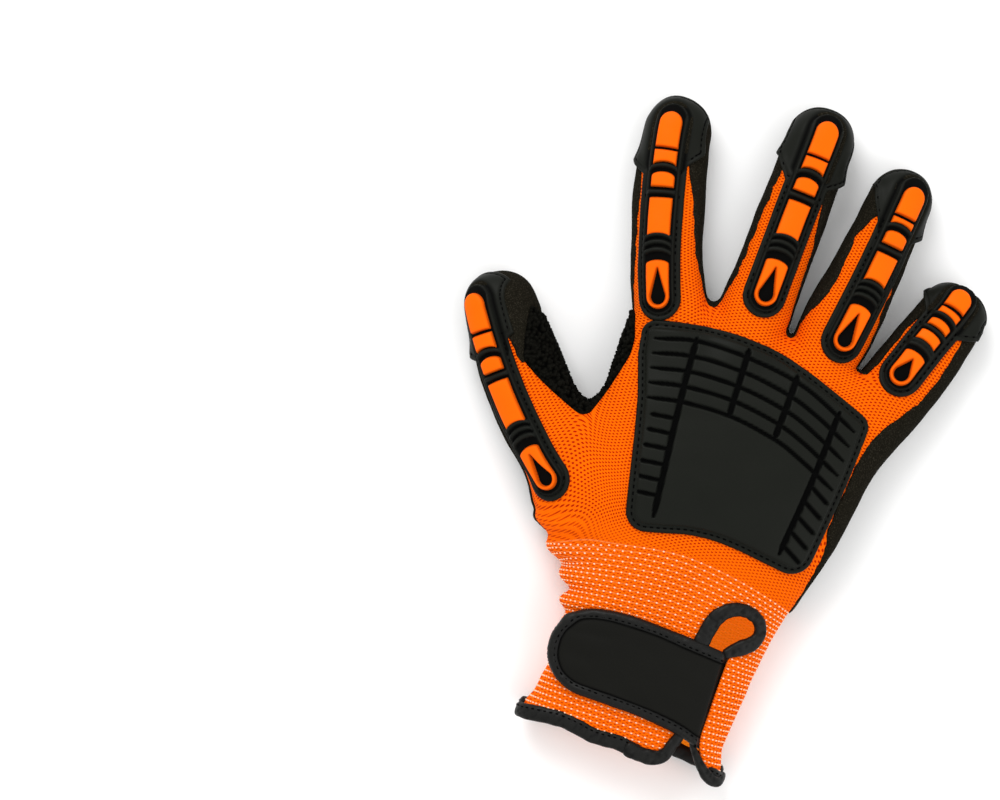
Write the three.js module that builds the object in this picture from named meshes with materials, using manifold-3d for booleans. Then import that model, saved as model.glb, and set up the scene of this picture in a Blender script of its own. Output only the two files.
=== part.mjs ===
// A right-hand impact work glove, lying palm down with its cuff towards -Y and its thumb towards -X.
// A hollow knitted liner carries a dipped palm coating, a rough patch in the thumb's crotch, a grooved
// guard over the back of the hand and a guard with raised pads along each finger. The cuff has a keyhole
// slit with taped edges, and a strap that comes out from under one side of the slit and closes over it.
// Millimetres, +Z up. Every layer is an offset of one glove surface, cut to a plan outline.
import * as THREE from "three";
import { mergeVertices } from "three/addons/utils/BufferGeometryUtils.js";
import Module from "manifold-3d";

const wasm = await Module();
wasm.setup();

// Hand sizes
const PALM_LENGTH = 105;
const PALM_WIDTH = 107;
const PALM_THICKNESS = 29;
const CUFF_LENGTH = 70;
const CUFF_WIDTH = 76;
const CUFF_THICKNESS = 25;

// Layers and clearances
const CLEARANCE = 0.3;
const KNIT = 1.4;
const COATING = 1.0;
const PATCH = 1.6;
const GUARD_FLANGE = 1.2;
const GUARD_BODY = 2.2;
const GUARD_RIB = 1.2;
const PAD = 1.7;
const PLATE_FLANGE = 1.4;
const PLATE = 3.0;
const TAPE = 0.7;
const STRAP = 1.0;

// Finger guards
const GUARD_WIDTH = 17.2;
const GUARD_BODY_WIDTH = 12.4;
const PAD_WIDTH = 9.4;
const RIB_WIDTH = 1.5;
const SHELL_FLARE = 5;
const SHELL_REACH = 7;

// Back plate
const PLATE_LENGTH = 0.714 * PALM_LENGTH;
const PLATE_WIDTH = 0.874 * PALM_WIDTH;
const PLATE_CORNER = 7;
const PLATE_BORDER = 3.2;
const CHANNEL_WIDTH = 2.2;
const ARCH_WIDTH = 1.5;

// Cuff slit, its tape and the strap
const SLIT_LENGTH = 58;
const SLIT_HEM_WIDTH = 14;
const SLIT_TOP_WIDTH = 7.5;
const KEYHOLE_RADIUS = 6.2;
const TAPE_WIDTH = 5.5;
const STRAP_REACH = 67.5;
const STRAP_WIDTH = 38.5;
const STRAP_END_WIDTH = 35;
const STRAP_CORNER = 15;
const STRAP_TAB = 8;
const STRAP_BORDER = 4.3;

// Mesh fineness, and how far the cutting prisms reach
const PALM_SIDES = 16;
const FINGER_SIDES = 10;
const TIP_STEPS = 2;
const INSIDE_FINENESS = 0.6;
const SLIVER = 0.08;
const TALL = 120;

// Sections of the palm from the wrist line up: left and right are shares of PALM_WIDTH from the middle
// finger's line, rise is the crest's height as a share of PALM_THICKNESS.
const PALM_SECTIONS = [
  { along: 0.0, left: -0.5, right: 0.388, rise: 0.93 },
  { along: 0.17, left: -0.573, right: 0.445, rise: 0.99 },
  { along: 0.4, left: -0.52, right: 0.497, rise: 1.03 },
  { along: 0.62, left: -0.46, right: 0.535, rise: 0.98 },
  { along: 0.8, left: -0.452, right: 0.58, rise: 0.88 },
  { along: 0.9, left: -0.445, right: 0.58, rise: 0.74 },
  { along: 0.96, left: -0.4, right: 0.21, rise: 0.62 },
  { along: 0.99, left: -0.29, right: 0.06, rise: 0.5 },
];

// Sections of the cuff, from beyond the hem up, with the folds at the wrist: along is a share of CUFF_LENGTH
// below the wrist line, left and right are shares of CUFF_WIDTH, rise a share of CUFF_THICKNESS.
const CUFF_SECTIONS = [
  { along: 1.15, left: -0.63, right: 0.458, rise: 0.86 },
  { along: 0.82, left: -0.543, right: 0.432, rise: 0.9 },
  { along: 0.5, left: -0.515, right: 0.455, rise: 1.0 },
  { along: 0.33, left: -0.553, right: 0.482, rise: 1.04 },
  { along: 0.245, left: -0.525, right: 0.492, rise: 1.0 },
  { along: 0.185, left: -0.578, right: 0.505, rise: 1.08 },
  { along: 0.125, left: -0.6, right: 0.515, rise: 1.04 },
  { along: 0.07, left: -0.66, right: 0.53, rise: 1.08 },
];

// Fingers: x and width are shares of PALM_WIDTH, y and length shares of PALM_LENGTH and thickness a share
// of PALM_THICKNESS, with x and y at the root inside the palm; leans are degrees from +Y towards +X.
const FINGER_TABLE = [
  { name: "thumb", x: -0.411, y: 0.2, length: 0.905, width: 0.29, thickness: 0.793,
    leanRoot: -52, leanTip: -28, taper: 0.8 },
  { name: "index", x: -0.26, y: 0.805, length: 0.943, width: 0.239, thickness: 0.707,
    leanRoot: -28, leanTip: -2, taper: 0.94 },
  { name: "middle", x: -0.05, y: 0.79, length: 1.033, width: 0.23, thickness: 0.724,
    leanRoot: 3.8, leanTip: 3.8, taper: 1.0 },
  { name: "ring", x: 0.218, y: 0.79, length: 0.914, width: 0.23, thickness: 0.707,
    leanRoot: 11, leanTip: 8, taper: 0.92 },
  { name: "little", x: 0.415, y: 0.64, length: 0.748, width: 0.266, thickness: 0.655,
    leanRoot: 26, leanTip: 17, taper: 0.87 },
];

// On each finger, where its own sleeve of knit and coating starts and where its guard starts, as shares of
// its length, and the guard's shift to the right at its start, middle and end, as shares of its width.
const COVER_TABLE = {
  thumb: { sleeveStart: 0.37, guardStart: 0.075, shiftStart: -0.21, shiftMiddle: -0.42, shiftEnd: -0.35 },
  index: { sleeveStart: 0.3, guardStart: 0.135, shiftStart: -0.26, shiftMiddle: -0.09, shiftEnd: -0.2 },
  middle: { sleeveStart: 0.27, guardStart: 0.19, shiftStart: -0.03, shiftMiddle: 0.03, shiftEnd: 0.06 },
  ring: { sleeveStart: 0.28, guardStart: 0.15, shiftStart: 0.14, shiftMiddle: 0.16, shiftEnd: 0.12 },
  little: { sleeveStart: 0.47, guardStart: 0.325, shiftStart: -0.03, shiftMiddle: -0.1, shiftEnd: -0.01 },
};
const FINGERS = FINGER_TABLE.map((row) => ({
  ...row,
  ...COVER_TABLE[row.name],
  x: row.x * PALM_WIDTH,
  y: row.y * PALM_LENGTH,
  length: row.length * PALM_LENGTH,
  width: row.width * PALM_WIDTH,
  thickness: row.thickness * PALM_THICKNESS,
}));

// Sections along a finger: width and rise are shares of the finger's width and thickness.
const FINGER_SECTIONS = [
  { along: 0.0, width: 0.86, rise: 1.12 },
  { along: 0.3, width: 1.03, rise: 1.08 },
  { along: 0.6, width: 1.0, rise: 1.0 },
  { along: 0.87, width: 0.97, rise: 0.9 },
];

// Pads along a guard, from and to as shares of its length. An arch is how far the middle of that end
// stands towards the fingertip, as a share of the pad's width.
const LONG_GUARD = {
  pads: [
    { name: "drop", from: 0.055, to: 0.255, archFrom: -0.5, archTo: 0.2 },
    { name: "long", from: 0.355, to: 0.55, archFrom: 0.2, archTo: 0.03 },
    { name: "joint", from: 0.59, to: 0.635, archFrom: 0.0, archTo: 0.22 },
    { name: "nail", from: 0.685, to: 0.755, archFrom: 0.2, archTo: 0.0 },
    { name: "tip", from: 0.765, to: 0.9, archFrom: 0.0, archTo: 0.42 },
  ],
  ribs: [
    { at: 0.285, arch: 0.2 },
    { at: 0.315, arch: 0.2 },
    { at: 0.345, arch: 0.2 },
    { at: 0.568, arch: 0.03 },
    { at: 0.663, arch: 0.2 },
  ],
};
const SHORT_GUARD = {
  pads: [
    { name: "drop", from: 0.09, to: 0.36, archFrom: -0.5, archTo: 0.2 },
    { name: "long", from: 0.455, to: 0.565, archFrom: 0.2, archTo: 0.15 },
    { name: "joint", from: 0.605, to: 0.675, archFrom: 0.15, archTo: 0.2 },
    { name: "nail", from: 0.725, to: 0.82, archFrom: 0.2, archTo: 0.1 },
    { name: "tip", from: 0.83, to: 0.925, archFrom: 0.1, archTo: 0.25 },
  ],
  ribs: [
    { at: 0.395, arch: 0.2 },
    { at: 0.43, arch: 0.2 },
    { at: 0.585, arch: 0.15 },
    { at: 0.7, arch: 0.2 },
  ],
};
// Where the fingertip's shell begins and the raised body ends, as shares of the guard's length.
const SHELL_START = 0.685;
const BODY_END = 0.94;

// Heights of the coating's edge on the two sides of each finger, as shares of the finger's rise.
const COAT_EDGES = {
  thumb: { leftRoot: 0.35, leftTip: 0.4, rightRoot: 0.55, rightTip: 0.97 },
  index: { leftRoot: 0.55, leftTip: 0.6, rightRoot: 0.8, rightTip: 0.96 },
  middle: { leftRoot: 0.78, leftTip: 0.87, rightRoot: 0.55, rightTip: 0.85 },
  ring: { leftRoot: 0.83, leftTip: 0.88, rightRoot: 0.72, rightTip: 0.85 },
  little: { leftRoot: 0.8, leftTip: 0.85, rightRoot: 0.86, rightTip: 0.9 },
};
// The same on the palm, as shares of its rise, from the wrist line up.
const PALM_COAT = [
  { along: -0.3, left: 0.5, right: 0.6 },
  { along: 0.1, left: 0.5, right: 0.62 },
  { along: 0.3, left: 0.48, right: 0.78 },
  { along: 0.6, left: 0.48, right: 0.82 },
  { along: 0.8, left: 0.55, right: 0.84 },
  { along: 1.05, left: 0.6, right: 0.84 },
];

const rad = THREE.MathUtils.degToRad;
const lerp = THREE.MathUtils.lerp;
const xy = (x, y) => new THREE.Vector2(x, y);

// The glove's surface: the palm's underside is at z = 0 once the coating is on.
const LIFT = CLEARANCE + COATING;
const PALM_SINK = 2;
const FINGER_SINK = 1.2;
const PALM_ROUNDNESS = 2.5;
const FINGER_ROUNDNESS = 2.2;
const HEM = -CUFF_LENGTH;
const HEM_OVERRUN = 12;
const CUFF_MIDDLE = LIFT + CUFF_THICKNESS / 2;

// A closed triangle mesh as a solid, turned to face outwards.
function solid(points, faces) {
  const make = (triangles) =>
    new wasm.Manifold(
      new wasm.Mesh({
        numProp: 3,
        vertProperties: new Float32Array(points.flat()),
        triVerts: new Uint32Array(triangles.flat()),
      }),
    );
  const made = make(faces);
  return made.volume() > 0 ? made : make(faces.map(([a, b, c]) => [a, c, b]));
}

// A three.js geometry as a solid.
function solidOf(geometry) {
  geometry.deleteAttribute("normal");
  geometry.deleteAttribute("uv");
  const merged = mergeVertices(geometry, 1e-4);
  const position = merged.getAttribute("position");
  const points = [];
  for (let i = 0; i < position.count; i++) {
    points.push([position.getX(i), position.getY(i), position.getZ(i)]);
  }
  const faces = [];
  for (let i = 0; i < merged.index.count; i += 3) {
    faces.push([0, 1, 2].map((k) => merged.index.getX(i + k)));
  }
  return solid(points, faces);
}

// Joins a list of rings of equal count into a tube closed at both ends.
function tube(rings) {
  const sides = rings[0].length;
  const points = rings.flat();
  const faces = [];
  const middle = (ring) => [0, 1, 2].map((k) => ring.reduce((sum, p) => sum + p[k], 0) / sides);
  for (let r = 0; r + 1 < rings.length; r++) {
    for (let i = 0; i < sides; i++) {
      const a = r * sides + i;
      const b = r * sides + ((i + 1) % sides);
      faces.push([a, b, a + sides], [b, b + sides, a + sides]);
    }
  }
  const start = points.length;
  points.push(middle(rings[0]), middle(rings[rings.length - 1]));
  const last = (rings.length - 1) * sides;
  for (let i = 0; i < sides; i++) {
    const next = (i + 1) % sides;
    faces.push([start, next, i], [start + 1, last + i, last + next]);
  }
  return solid(points, faces);
}

const power = (value, exponent) => Math.sign(value) * Math.abs(value) ** exponent;

// Points of a rounded section, from the crest round towards the right.
function section(halfWidth, halfHeight, roundness, sides, place) {
  return Array.from({ length: sides }, (_, i) => {
    const angle = (2 * Math.PI * (i + 0.5)) / sides;
    const across = halfWidth * power(Math.sin(angle), 2 / roundness);
    const up = halfHeight * power(Math.cos(angle), 2 / roundness);
    return place(across, up);
  });
}

// Palm and cuff sections in millimetres, from beyond the hem to the webs between the fingers.
function bodySections() {
  const cuff = CUFF_SECTIONS.map((row) => ({
    y: -row.along * CUFF_LENGTH,
    left: row.left * CUFF_WIDTH,
    right: row.right * CUFF_WIDTH,
    rise: row.rise * CUFF_THICKNESS,
  }));
  const palm = PALM_SECTIONS.map((row) => ({
    y: row.along * PALM_LENGTH,
    left: row.left * PALM_WIDTH,
    right: row.right * PALM_WIDTH,
    rise: row.rise * PALM_THICKNESS,
  }));
  return [...cuff, ...palm];
}

function bodyTube(offset, sides) {
  const rows = bodySections();
  const rings = rows.map((row, i) => {
    const halfHeight = (row.rise + PALM_SINK) / 2;
    const centre = { x: (row.left + row.right) / 2, z: LIFT + row.rise - halfHeight };
    const y = i === rows.length - 1 ? row.y + offset : row.y;
    return section(
      (row.right - row.left) / 2 + offset,
      halfHeight + offset,
      PALM_ROUNDNESS,
      sides,
      (across, up) => [centre.x + across, y, centre.z + up],
    );
  });
  return tube(rings);
}

// A table's column at a share along it, in a straight line between rows.
function reading(table, column, along) {
  const next = table.findIndex((row) => row.along >= along);
  if (next < 0) return table[table.length - 1][column];
  if (next === 0) return table[0][column];
  const [a, b] = [table[next - 1], table[next]];
  return lerp(a[column], b[column], (along - a.along) / (b.along - a.along));
}

// Place and directions of a finger's middle line, an arc, at a distance from the root.
function fingerFrame(finger, distance) {
  const turn = rad(finger.leanTip - finger.leanRoot) * (distance / finger.length);
  const chordLean = rad(finger.leanRoot) + turn / 2;
  const chord = Math.abs(turn) < 1e-6 ? distance : (distance * Math.sin(turn / 2)) / (turn / 2);
  const lean = rad(finger.leanRoot) + turn;
  return {
    x: finger.x + chord * Math.sin(chordLean),
    y: finger.y + chord * Math.cos(chordLean),
    right: { x: Math.cos(lean), y: -Math.sin(lean) },
  };
}

// Plan point at a distance along a finger and a distance to the right of its middle line.
function fingerPoint(finger, distance, across) {
  const frame = fingerFrame(finger, distance);
  return xy(frame.x + across * frame.right.x, frame.y + across * frame.right.y);
}

// Where a finger's dome begins, as a distance from the root.
const domeStart = (finger) => FINGER_SECTIONS[FINGER_SECTIONS.length - 1].along * finger.length;

// Half sizes and centre height of a finger's section at a distance from the root.
function fingerSize(finger, distance) {
  const along = Math.min(distance, domeStart(finger)) / finger.length;
  const rise = reading(FINGER_SECTIONS, "rise", along) * finger.thickness;
  const halfHeight = (rise + FINGER_SINK) / 2;
  const share = reading(FINGER_SECTIONS, "width", along) * lerp(1, finger.taper, along);
  return { rise, halfWidth: (share * finger.width) / 2, halfHeight, centre: LIFT + rise - halfHeight };
}

function fingerTube(finger, offset, sides) {
  const dome = domeStart(finger);
  const ringAt = (distance, scale) => {
    const size = fingerSize(finger, distance);
    const frame = fingerFrame(finger, distance);
    return section(
      (size.halfWidth + offset) * scale,
      (size.halfHeight + offset) * scale,
      FINGER_ROUNDNESS,
      sides,
      (across, up) => [frame.x + across * frame.right.x, frame.y + across * frame.right.y, size.centre + up],
    );
  };
  const rings = FINGER_SECTIONS.map((row) => ringAt(row.along * finger.length - (row.along ? 0 : offset), 1));
  const reach = finger.length - dome + offset;
  for (let i = 1; i <= TIP_STEPS; i++) {
    const angle = ((Math.PI / 2) * i) / (TIP_STEPS + 0.35);
    rings.push(ringAt(dome + reach * Math.sin(angle), Math.cos(angle)));
  }
  return tube(rings);
}

// Large boxes that keep what is above a height, or on one side of a line in y.
const WIDE = 4 * (PALM_LENGTH + CUFF_LENGTH + TALL);
function bigBox(centre) {
  const geometry = new THREE.BoxGeometry(WIDE, WIDE, WIDE);
  geometry.translate(...centre);
  return solidOf(geometry);
}
const above = (z) => bigBox([0, 0, z + WIDE / 2]);
const beyond = (y) => bigBox([0, y + WIDE / 2, 0]);

// The whole glove's solid at an offset from the knit's outside, flat where it rests.
const gloves = new Map();
function glove(offset) {
  if (!gloves.has(offset)) {
    const fineness = offset < 0 ? INSIDE_FINENESS : 1;
    const fingerSides = Math.round(FINGER_SIDES * fineness);
    const palmSides = Math.round(PALM_SIDES * fineness);
    const tubes = FINGERS.map((finger) => fingerTube(finger, offset, fingerSides));
    const whole = tubes.reduce((sum, next) => sum.add(next), bodyTube(offset, palmSides));
    gloves.set(offset, whole.intersect(above(LIFT - offset)));
  }
  return gloves.get(offset);
}

// The layer of the glove between two offsets.
const layer = (inner, outer) => glove(outer).subtract(glove(inner));

// An outline without the points that lie on a straight line between their neighbours.
function withoutStraights(outline) {
  return outline.filter((point, i) => {
    const before = point.clone().sub(outline[(i + outline.length - 1) % outline.length]);
    const after = outline[(i + 1) % outline.length].clone().sub(point);
    return Math.abs(before.cross(after)) > 0.01 * (before.length() + after.length());
  });
}

// An upright prism over a plan outline.
function prism(outline, low = CUFF_MIDDLE, high = TALL) {
  const geometry = new THREE.ExtrudeGeometry(new THREE.Shape(withoutStraights(outline)), {
    depth: high - low,
    bevelEnabled: false,
  });
  geometry.translate(0, 0, low);
  return solidOf(geometry);
}

// An outline moved outwards by a margin, or inwards by a negative one.
function grown(outline, margin) {
  const turn = THREE.ShapeUtils.isClockWise(outline) ? -1 : 1;
  const count = outline.length;
  return outline.map((point, i) => {
    const before = point.clone().sub(outline[(i + count - 1) % count]).normalize();
    const after = outline[(i + 1) % count].clone().sub(point).normalize();
    const out = xy(before.y + after.y, -before.x - after.x).normalize();
    const mitre = Math.max(0.5, out.x * after.y - out.y * after.x);
    return point.clone().addScaledVector(out, (turn * margin) / mitre);
  });
}

function rectangle(left, low, right, high) {
  return [xy(left, low), xy(right, low), xy(right, high), xy(left, high)];
}

// A band of a given width along a line of plan points.
function band(line, width) {
  const side = (sign) =>
    line.map((point, i) => {
      const before = line[Math.max(0, i - 1)];
      const after = line[Math.min(line.length - 1, i + 1)];
      const ahead = after.clone().sub(before).normalize();
      return xy(point.x + (sign * ahead.y * width) / 2, point.y - (sign * ahead.x * width) / 2);
    });
  return [...side(1), ...side(-1).reverse()];
}

// Points of a smooth curve through a few plan points.
const smooth = (points, steps) => new THREE.SplineCurve(points).getPoints(steps);

// The guard's frame on a finger: plan points by a share of its length and a distance across.
function guardPlan(finger) {
  const start = finger.guardStart * finger.length;
  const length = finger.length - start;
  const bow = 2 * finger.shiftMiddle - finger.shiftStart - finger.shiftEnd;
  const at = (share, across) => {
    const shift = lerp(finger.shiftStart, finger.shiftEnd, share) + bow * 2 * share * (1 - share);
    return fingerPoint(finger, start + share * length, across + shift * finger.width);
  };
  return { length, at };
}

// A strip's outline along a guard: straight sides and arched ends.
function stripOutline(plan, strip, halfWidth, steps = 3) {
  const end = (share, arch, sign) =>
    Array.from({ length: steps + 1 }, (_, i) => {
      const across = sign * ((2 * i) / steps - 1);
      const bulge = arch * 2 * halfWidth * Math.sqrt(1 - across ** 2);
      return plan.at(share + bulge / plan.length, across * halfWidth);
    });
  const sides = 3;
  const edge = (from, to, across) =>
    Array.from({ length: sides - 1 }, (_, i) => plan.at(lerp(from, to, (i + 1) / sides), across));
  const long = strip.to - strip.from > 0.3;
  return [
    ...end(strip.from, strip.archFrom, 1),
    ...(long ? edge(strip.from, strip.to, halfWidth) : []),
    ...end(strip.to, strip.archTo, -1),
    ...(long ? edge(strip.to, strip.from, -halfWidth) : []),
  ];
}

// Plan outlines of a finger's guard: the sewn flange, the raised body and the fingertip's shell.
function guardOutlines(finger) {
  const plan = guardPlan(finger);
  const flangeHalf = GUARD_WIDTH / 2;
  const bodyHalf = GUARD_BODY_WIDTH / 2;
  const nearEnd = flangeHalf / plan.length;
  const flare = SHELL_START + SHELL_FLARE / plan.length;
  const side = finger.width / 2 + SHELL_REACH;
  const far = 1 + SHELL_REACH / plan.length;
  const right = [
    plan.at(SHELL_START, bodyHalf),
    plan.at(flare, flangeHalf + SHELL_FLARE),
    plan.at(flare, side),
    plan.at(far, side),
  ];
  const left = [
    plan.at(far, -side),
    plan.at(flare, -side),
    plan.at(flare, -flangeHalf - SHELL_FLARE),
    plan.at(SHELL_START, -bodyHalf),
  ];
  return {
    flange: stripOutline(plan, { from: nearEnd, to: flare, archFrom: -0.5, archTo: 0 }, flangeHalf, 5),
    body: stripOutline(plan, { from: nearEnd, to: BODY_END, archFrom: -0.5, archTo: 0.3 }, bodyHalf, 5),
    shell: [...right, ...left],
  };
}

// The height down to which a fingertip's shell reaches.
const shellRim = (finger) => fingerSize(finger, finger.length).centre;

const guardPattern = (finger) => (finger.name === "little" ? SHORT_GUARD : LONG_GUARD);

function guardRib(finger, rib) {
  const plan = guardPlan(finger);
  const half = RIB_WIDTH / 2 / plan.length;
  const strip = { from: rib.at - half, to: rib.at + half, archFrom: rib.arch, archTo: rib.arch };
  return prism(stripOutline(plan, strip, PAD_WIDTH / 2), shellRim(finger));
}

function fingerGuard(finger) {
  const outlines = guardOutlines(finger);
  const rim = shellRim(finger);
  const footprint = prism(outlines.flange, rim).add(prism(outlines.shell, rim));
  const ribs = guardPattern(finger).ribs.map((rib) => guardRib(finger, rib));
  const ridges = ribs.reduce((sum, next) => sum.add(next));
  return layer(CLEARANCE, CLEARANCE + GUARD_FLANGE)
    .intersect(footprint)
    .add(layer(CLEARANCE, CLEARANCE + GUARD_BODY).intersect(prism(outlines.body, rim)))
    .add(layer(CLEARANCE, CLEARANCE + GUARD_BODY + GUARD_RIB).intersect(ridges));
}

// The drop-shaped hole in the pad nearest the knuckle: a point towards the fingertip and a round end.
function dropHole(plan, pad) {
  const radius = PAD_WIDTH * 0.31;
  const turn = lerp(pad.from, pad.to, 0.22);
  const steps = 4;
  const round = Array.from({ length: steps + 1 }, (_, i) => {
    const angle = rad(lerp(-15, 195, i / steps));
    return plan.at(turn - (radius * Math.sin(angle)) / plan.length, radius * Math.cos(angle));
  });
  return prism([plan.at(lerp(pad.from, pad.to, 0.86), 0), ...round], 0);
}

function guardPad(finger, pad) {
  const plan = guardPlan(finger);
  const foot = CLEARANCE + GUARD_BODY + CLEARANCE;
  const whole = prism(stripOutline(plan, pad, PAD_WIDTH / 2), shellRim(finger));
  const made = layer(foot, foot + PAD).intersect(whole);
  return pad.name === "drop" ? made.subtract(dropHole(plan, pad)) : made;
}

// The back plate in plan: shares of its width and length about its middle.
const PLATE_MIDDLE = { x: 0.031 * PALM_WIDTH, y: 0.512 * PALM_LENGTH };
const onPlate = (x, y) => xy(PLATE_MIDDLE.x + x * PLATE_WIDTH, PLATE_MIDDLE.y + y * PLATE_LENGTH);

function plateOutline() {
  const corners = [onPlate(-0.51, 0.5), onPlate(-0.345, -0.54), onPlate(0.43, -0.53), onPlate(0.515, 0.33)];
  const middles = [null, onPlate(0.02, -0.44), null, onPlate(-0.08, 0.58)];
  const edges = corners.map((from, i) => {
    const to = corners[(i + 1) % corners.length];
    const half = from.clone().add(to).multiplyScalar(0.5);
    const control = middles[i] ? middles[i].clone().multiplyScalar(2).sub(half) : half;
    return new THREE.QuadraticBezierCurve(from, control, to);
  });
  const cut = (edge) => PLATE_CORNER / edge.getLength();
  return edges.flatMap((edge, i) => {
    const next = edges[(i + 1) % edges.length];
    const stretch = middles[i] ? 6 : 1;
    const end = 1 - cut(edge);
    const run = Array.from({ length: stretch }, (_, k) => edge.getPoint(lerp(cut(edge), end, k / stretch)));
    const corner = new THREE.QuadraticBezierCurve(edge.getPoint(end), edge.v2, next.getPoint(cut(next)));
    return [...run, ...corner.getPoints(4).slice(0, -1)];
  });
}

// Grooves of the plate's raised field, as lines through shares of the plate: channels that run along
// the hand, arches across it and short rungs down both sides.
const CHANNELS = [
  [onPlate(-0.281, 0.5), onPlate(-0.265, 0.083), onPlate(-0.238, -0.43)],
  [onPlate(-0.062, 0.53), onPlate(-0.062, 0.176)],
  [onPlate(0.163, 0.47), onPlate(0.141, 0.136)],
  [onPlate(0.366, 0.36), onPlate(0.339, 0.016), onPlate(0.296, -0.42)],
];
const ARCH_FIRST = [[-0.431, 0.443], [-0.142, 0.496], [0.157, 0.436], [0.446, 0.283]];
const ARCH_LAST = [[-0.388, 0.149], [-0.142, 0.18], [0.136, 0.129], [0.425, -0.031]];
const ARCHES = 5;
const LEFT_RUNGS = 6;
const RIGHT_RUNGS = 5;
const RUNG_STEP = 0.08;

function grooveOutlines() {
  const channels = CHANNELS.map((line) => band(line, CHANNEL_WIDTH));
  const arches = Array.from({ length: ARCHES }, (_, i) => {
    const share = i / (ARCHES - 1);
    const line = ARCH_FIRST.map(([x, y], k) =>
      onPlate(lerp(x, ARCH_LAST[k][0], share), lerp(y, ARCH_LAST[k][1], share)),
    );
    return band(smooth(line, 4), ARCH_WIDTH);
  });
  const left = Array.from({ length: LEFT_RUNGS }, (_, i) => {
    const x = -0.265 + 0.0045 * i;
    const y = 0.083 - RUNG_STEP * i;
    return band([onPlate(x - 0.1, y - 0.01), onPlate(x, y)], ARCH_WIDTH);
  });
  const right = Array.from({ length: RIGHT_RUNGS }, (_, i) => {
    const x = 0.34 - 0.01 * i;
    const y = -0.051 - RUNG_STEP * i;
    return band([onPlate(x, y), onPlate(x + 0.08, y - 0.062)], ARCH_WIDTH);
  });
  return [...channels, ...arches, ...left, ...right];
}

function backPlate() {
  const outline = plateOutline();
  const low = LIFT + PALM_THICKNESS / 2;
  const grooves = grooveOutlines().map((groove) => prism(groove, low));
  const field = prism(grown(outline, -PLATE_BORDER), low);
  return layer(CLEARANCE, CLEARANCE + PLATE)
    .intersect(grooves.reduce((rest, groove) => rest.subtract(groove), field))
    .add(layer(CLEARANCE, CLEARANCE + PLATE_FLANGE).intersect(prism(outline, low)));
}

// The palm coating stays below these sloping sheets, one over each finger and one over the palm.
function coatCutter(rows) {
  return tube(
    rows.map(({ left, right, low }) => [
      [left.x, left.y, low[0]],
      [left.x, left.y, TALL],
      [right.x, right.y, TALL],
      [right.x, right.y, low[1]],
    ]),
  );
}

function fingerCoatCutter(finger) {
  const edge = COAT_EDGES[finger.name];
  const steps = 5;
  const reach = finger.width / 2 + 2 * COATING;
  const rows = Array.from({ length: steps + 1 }, (_, i) => {
    const along = lerp(0.1, 1.1, i / steps);
    const { rise } = fingerSize(finger, along * finger.length);
    const share = Math.min(1, along);
    return {
      left: fingerPoint(finger, along * finger.length, -reach),
      right: fingerPoint(finger, along * finger.length, reach),
      low: [
        LIFT + rise * lerp(edge.leftRoot, edge.leftTip, share),
        LIFT + rise * lerp(edge.rightRoot, edge.rightTip, share),
      ],
    };
  });
  return coatCutter(rows);
}

function palmCoatCutter() {
  const rows = PALM_COAT.map((row) => {
    const y = row.along * PALM_LENGTH;
    return {
      left: xy(-0.66 * PALM_WIDTH, y),
      right: xy(0.66 * PALM_WIDTH, y),
      low: [LIFT + row.left * PALM_THICKNESS, LIFT + row.right * PALM_THICKNESS],
    };
  });
  return coatCutter(rows);
}

// The coating's near edge is an arc that hangs towards the hem in the middle.
const onPalm = (x, y) => xy(x * PALM_WIDTH, y * PALM_LENGTH);
function coatHem() {
  const arc = new THREE.QuadraticBezierCurve(onPalm(-0.55, 0.06), onPalm(-0.05, -0.4), onPalm(0.45, 0.04));
  const ends = [onPalm(1, 0.04), xy(PALM_WIDTH, 2 * HEM), xy(-PALM_WIDTH, 2 * HEM), onPalm(-1, 0.06)];
  return prism([...arc.getPoints(8), ...ends], -TALL);
}

// Everything in plan that a finger's guard covers, with room round it.
function guardRoom(finger) {
  const outlines = guardOutlines(finger);
  const low = shellRim(finger) - CLEARANCE;
  return prism(grown(outlines.flange, CLEARANCE), low).add(prism(grown(outlines.shell, CLEARANCE), low));
}

// The patch in the thumb's crotch, in plan: its line on the back of the hand and its line on the palm.
const PATCH_BACK = [
  onPalm(-0.79, 0.86), onPalm(-0.803, 0.7), onPalm(-0.785, 0.62), onPalm(-0.72, 0.57), onPalm(-0.65, 0.535),
  onPalm(-0.58, 0.505), onPalm(-0.533, 0.486), onPalm(-0.5, 0.505), onPalm(-0.48, 0.55), onPalm(-0.458, 0.62),
  onPalm(-0.425, 0.73), onPalm(-0.423, 0.81), onPalm(-0.47, 0.905), onPalm(-0.53, 0.91), onPalm(-0.56, 0.72),
];
const PATCH_PALM = [
  onPalm(-0.76, 0.86), onPalm(-0.75, 0.74), onPalm(-0.67, 0.66), onPalm(-0.58, 0.56), onPalm(-0.51, 0.49),
  onPalm(-0.43, 0.54), onPalm(-0.37, 0.63), onPalm(-0.36, 0.73), onPalm(-0.38, 0.82), onPalm(-0.44, 0.9),
  onPalm(-0.53, 0.91), onPalm(-0.56, 0.72),
];
function patchRoom(margin) {
  const back = prism(grown(PATCH_BACK, margin), LIFT + 0.4 * PALM_THICKNESS);
  const palm = prism(grown(PATCH_PALM, margin), -TALL, LIFT + 0.44 * PALM_THICKNESS);
  return back.add(palm);
}

// Everything in plan that the back plate covers, with room round it.
const plateRoom = () => prism(grown(plateOutline(), CLEARANCE), LIFT + PALM_THICKNESS / 2);

function crotchPatch() {
  return layer(CLEARANCE, CLEARANCE + PATCH)
    .intersect(patchRoom(0))
    .intersect(above(0))
    .subtract(guardRoom(FINGERS[0]))
    .subtract(guardRoom(FINGERS[1]))
    .subtract(plateRoom());
}

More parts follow.
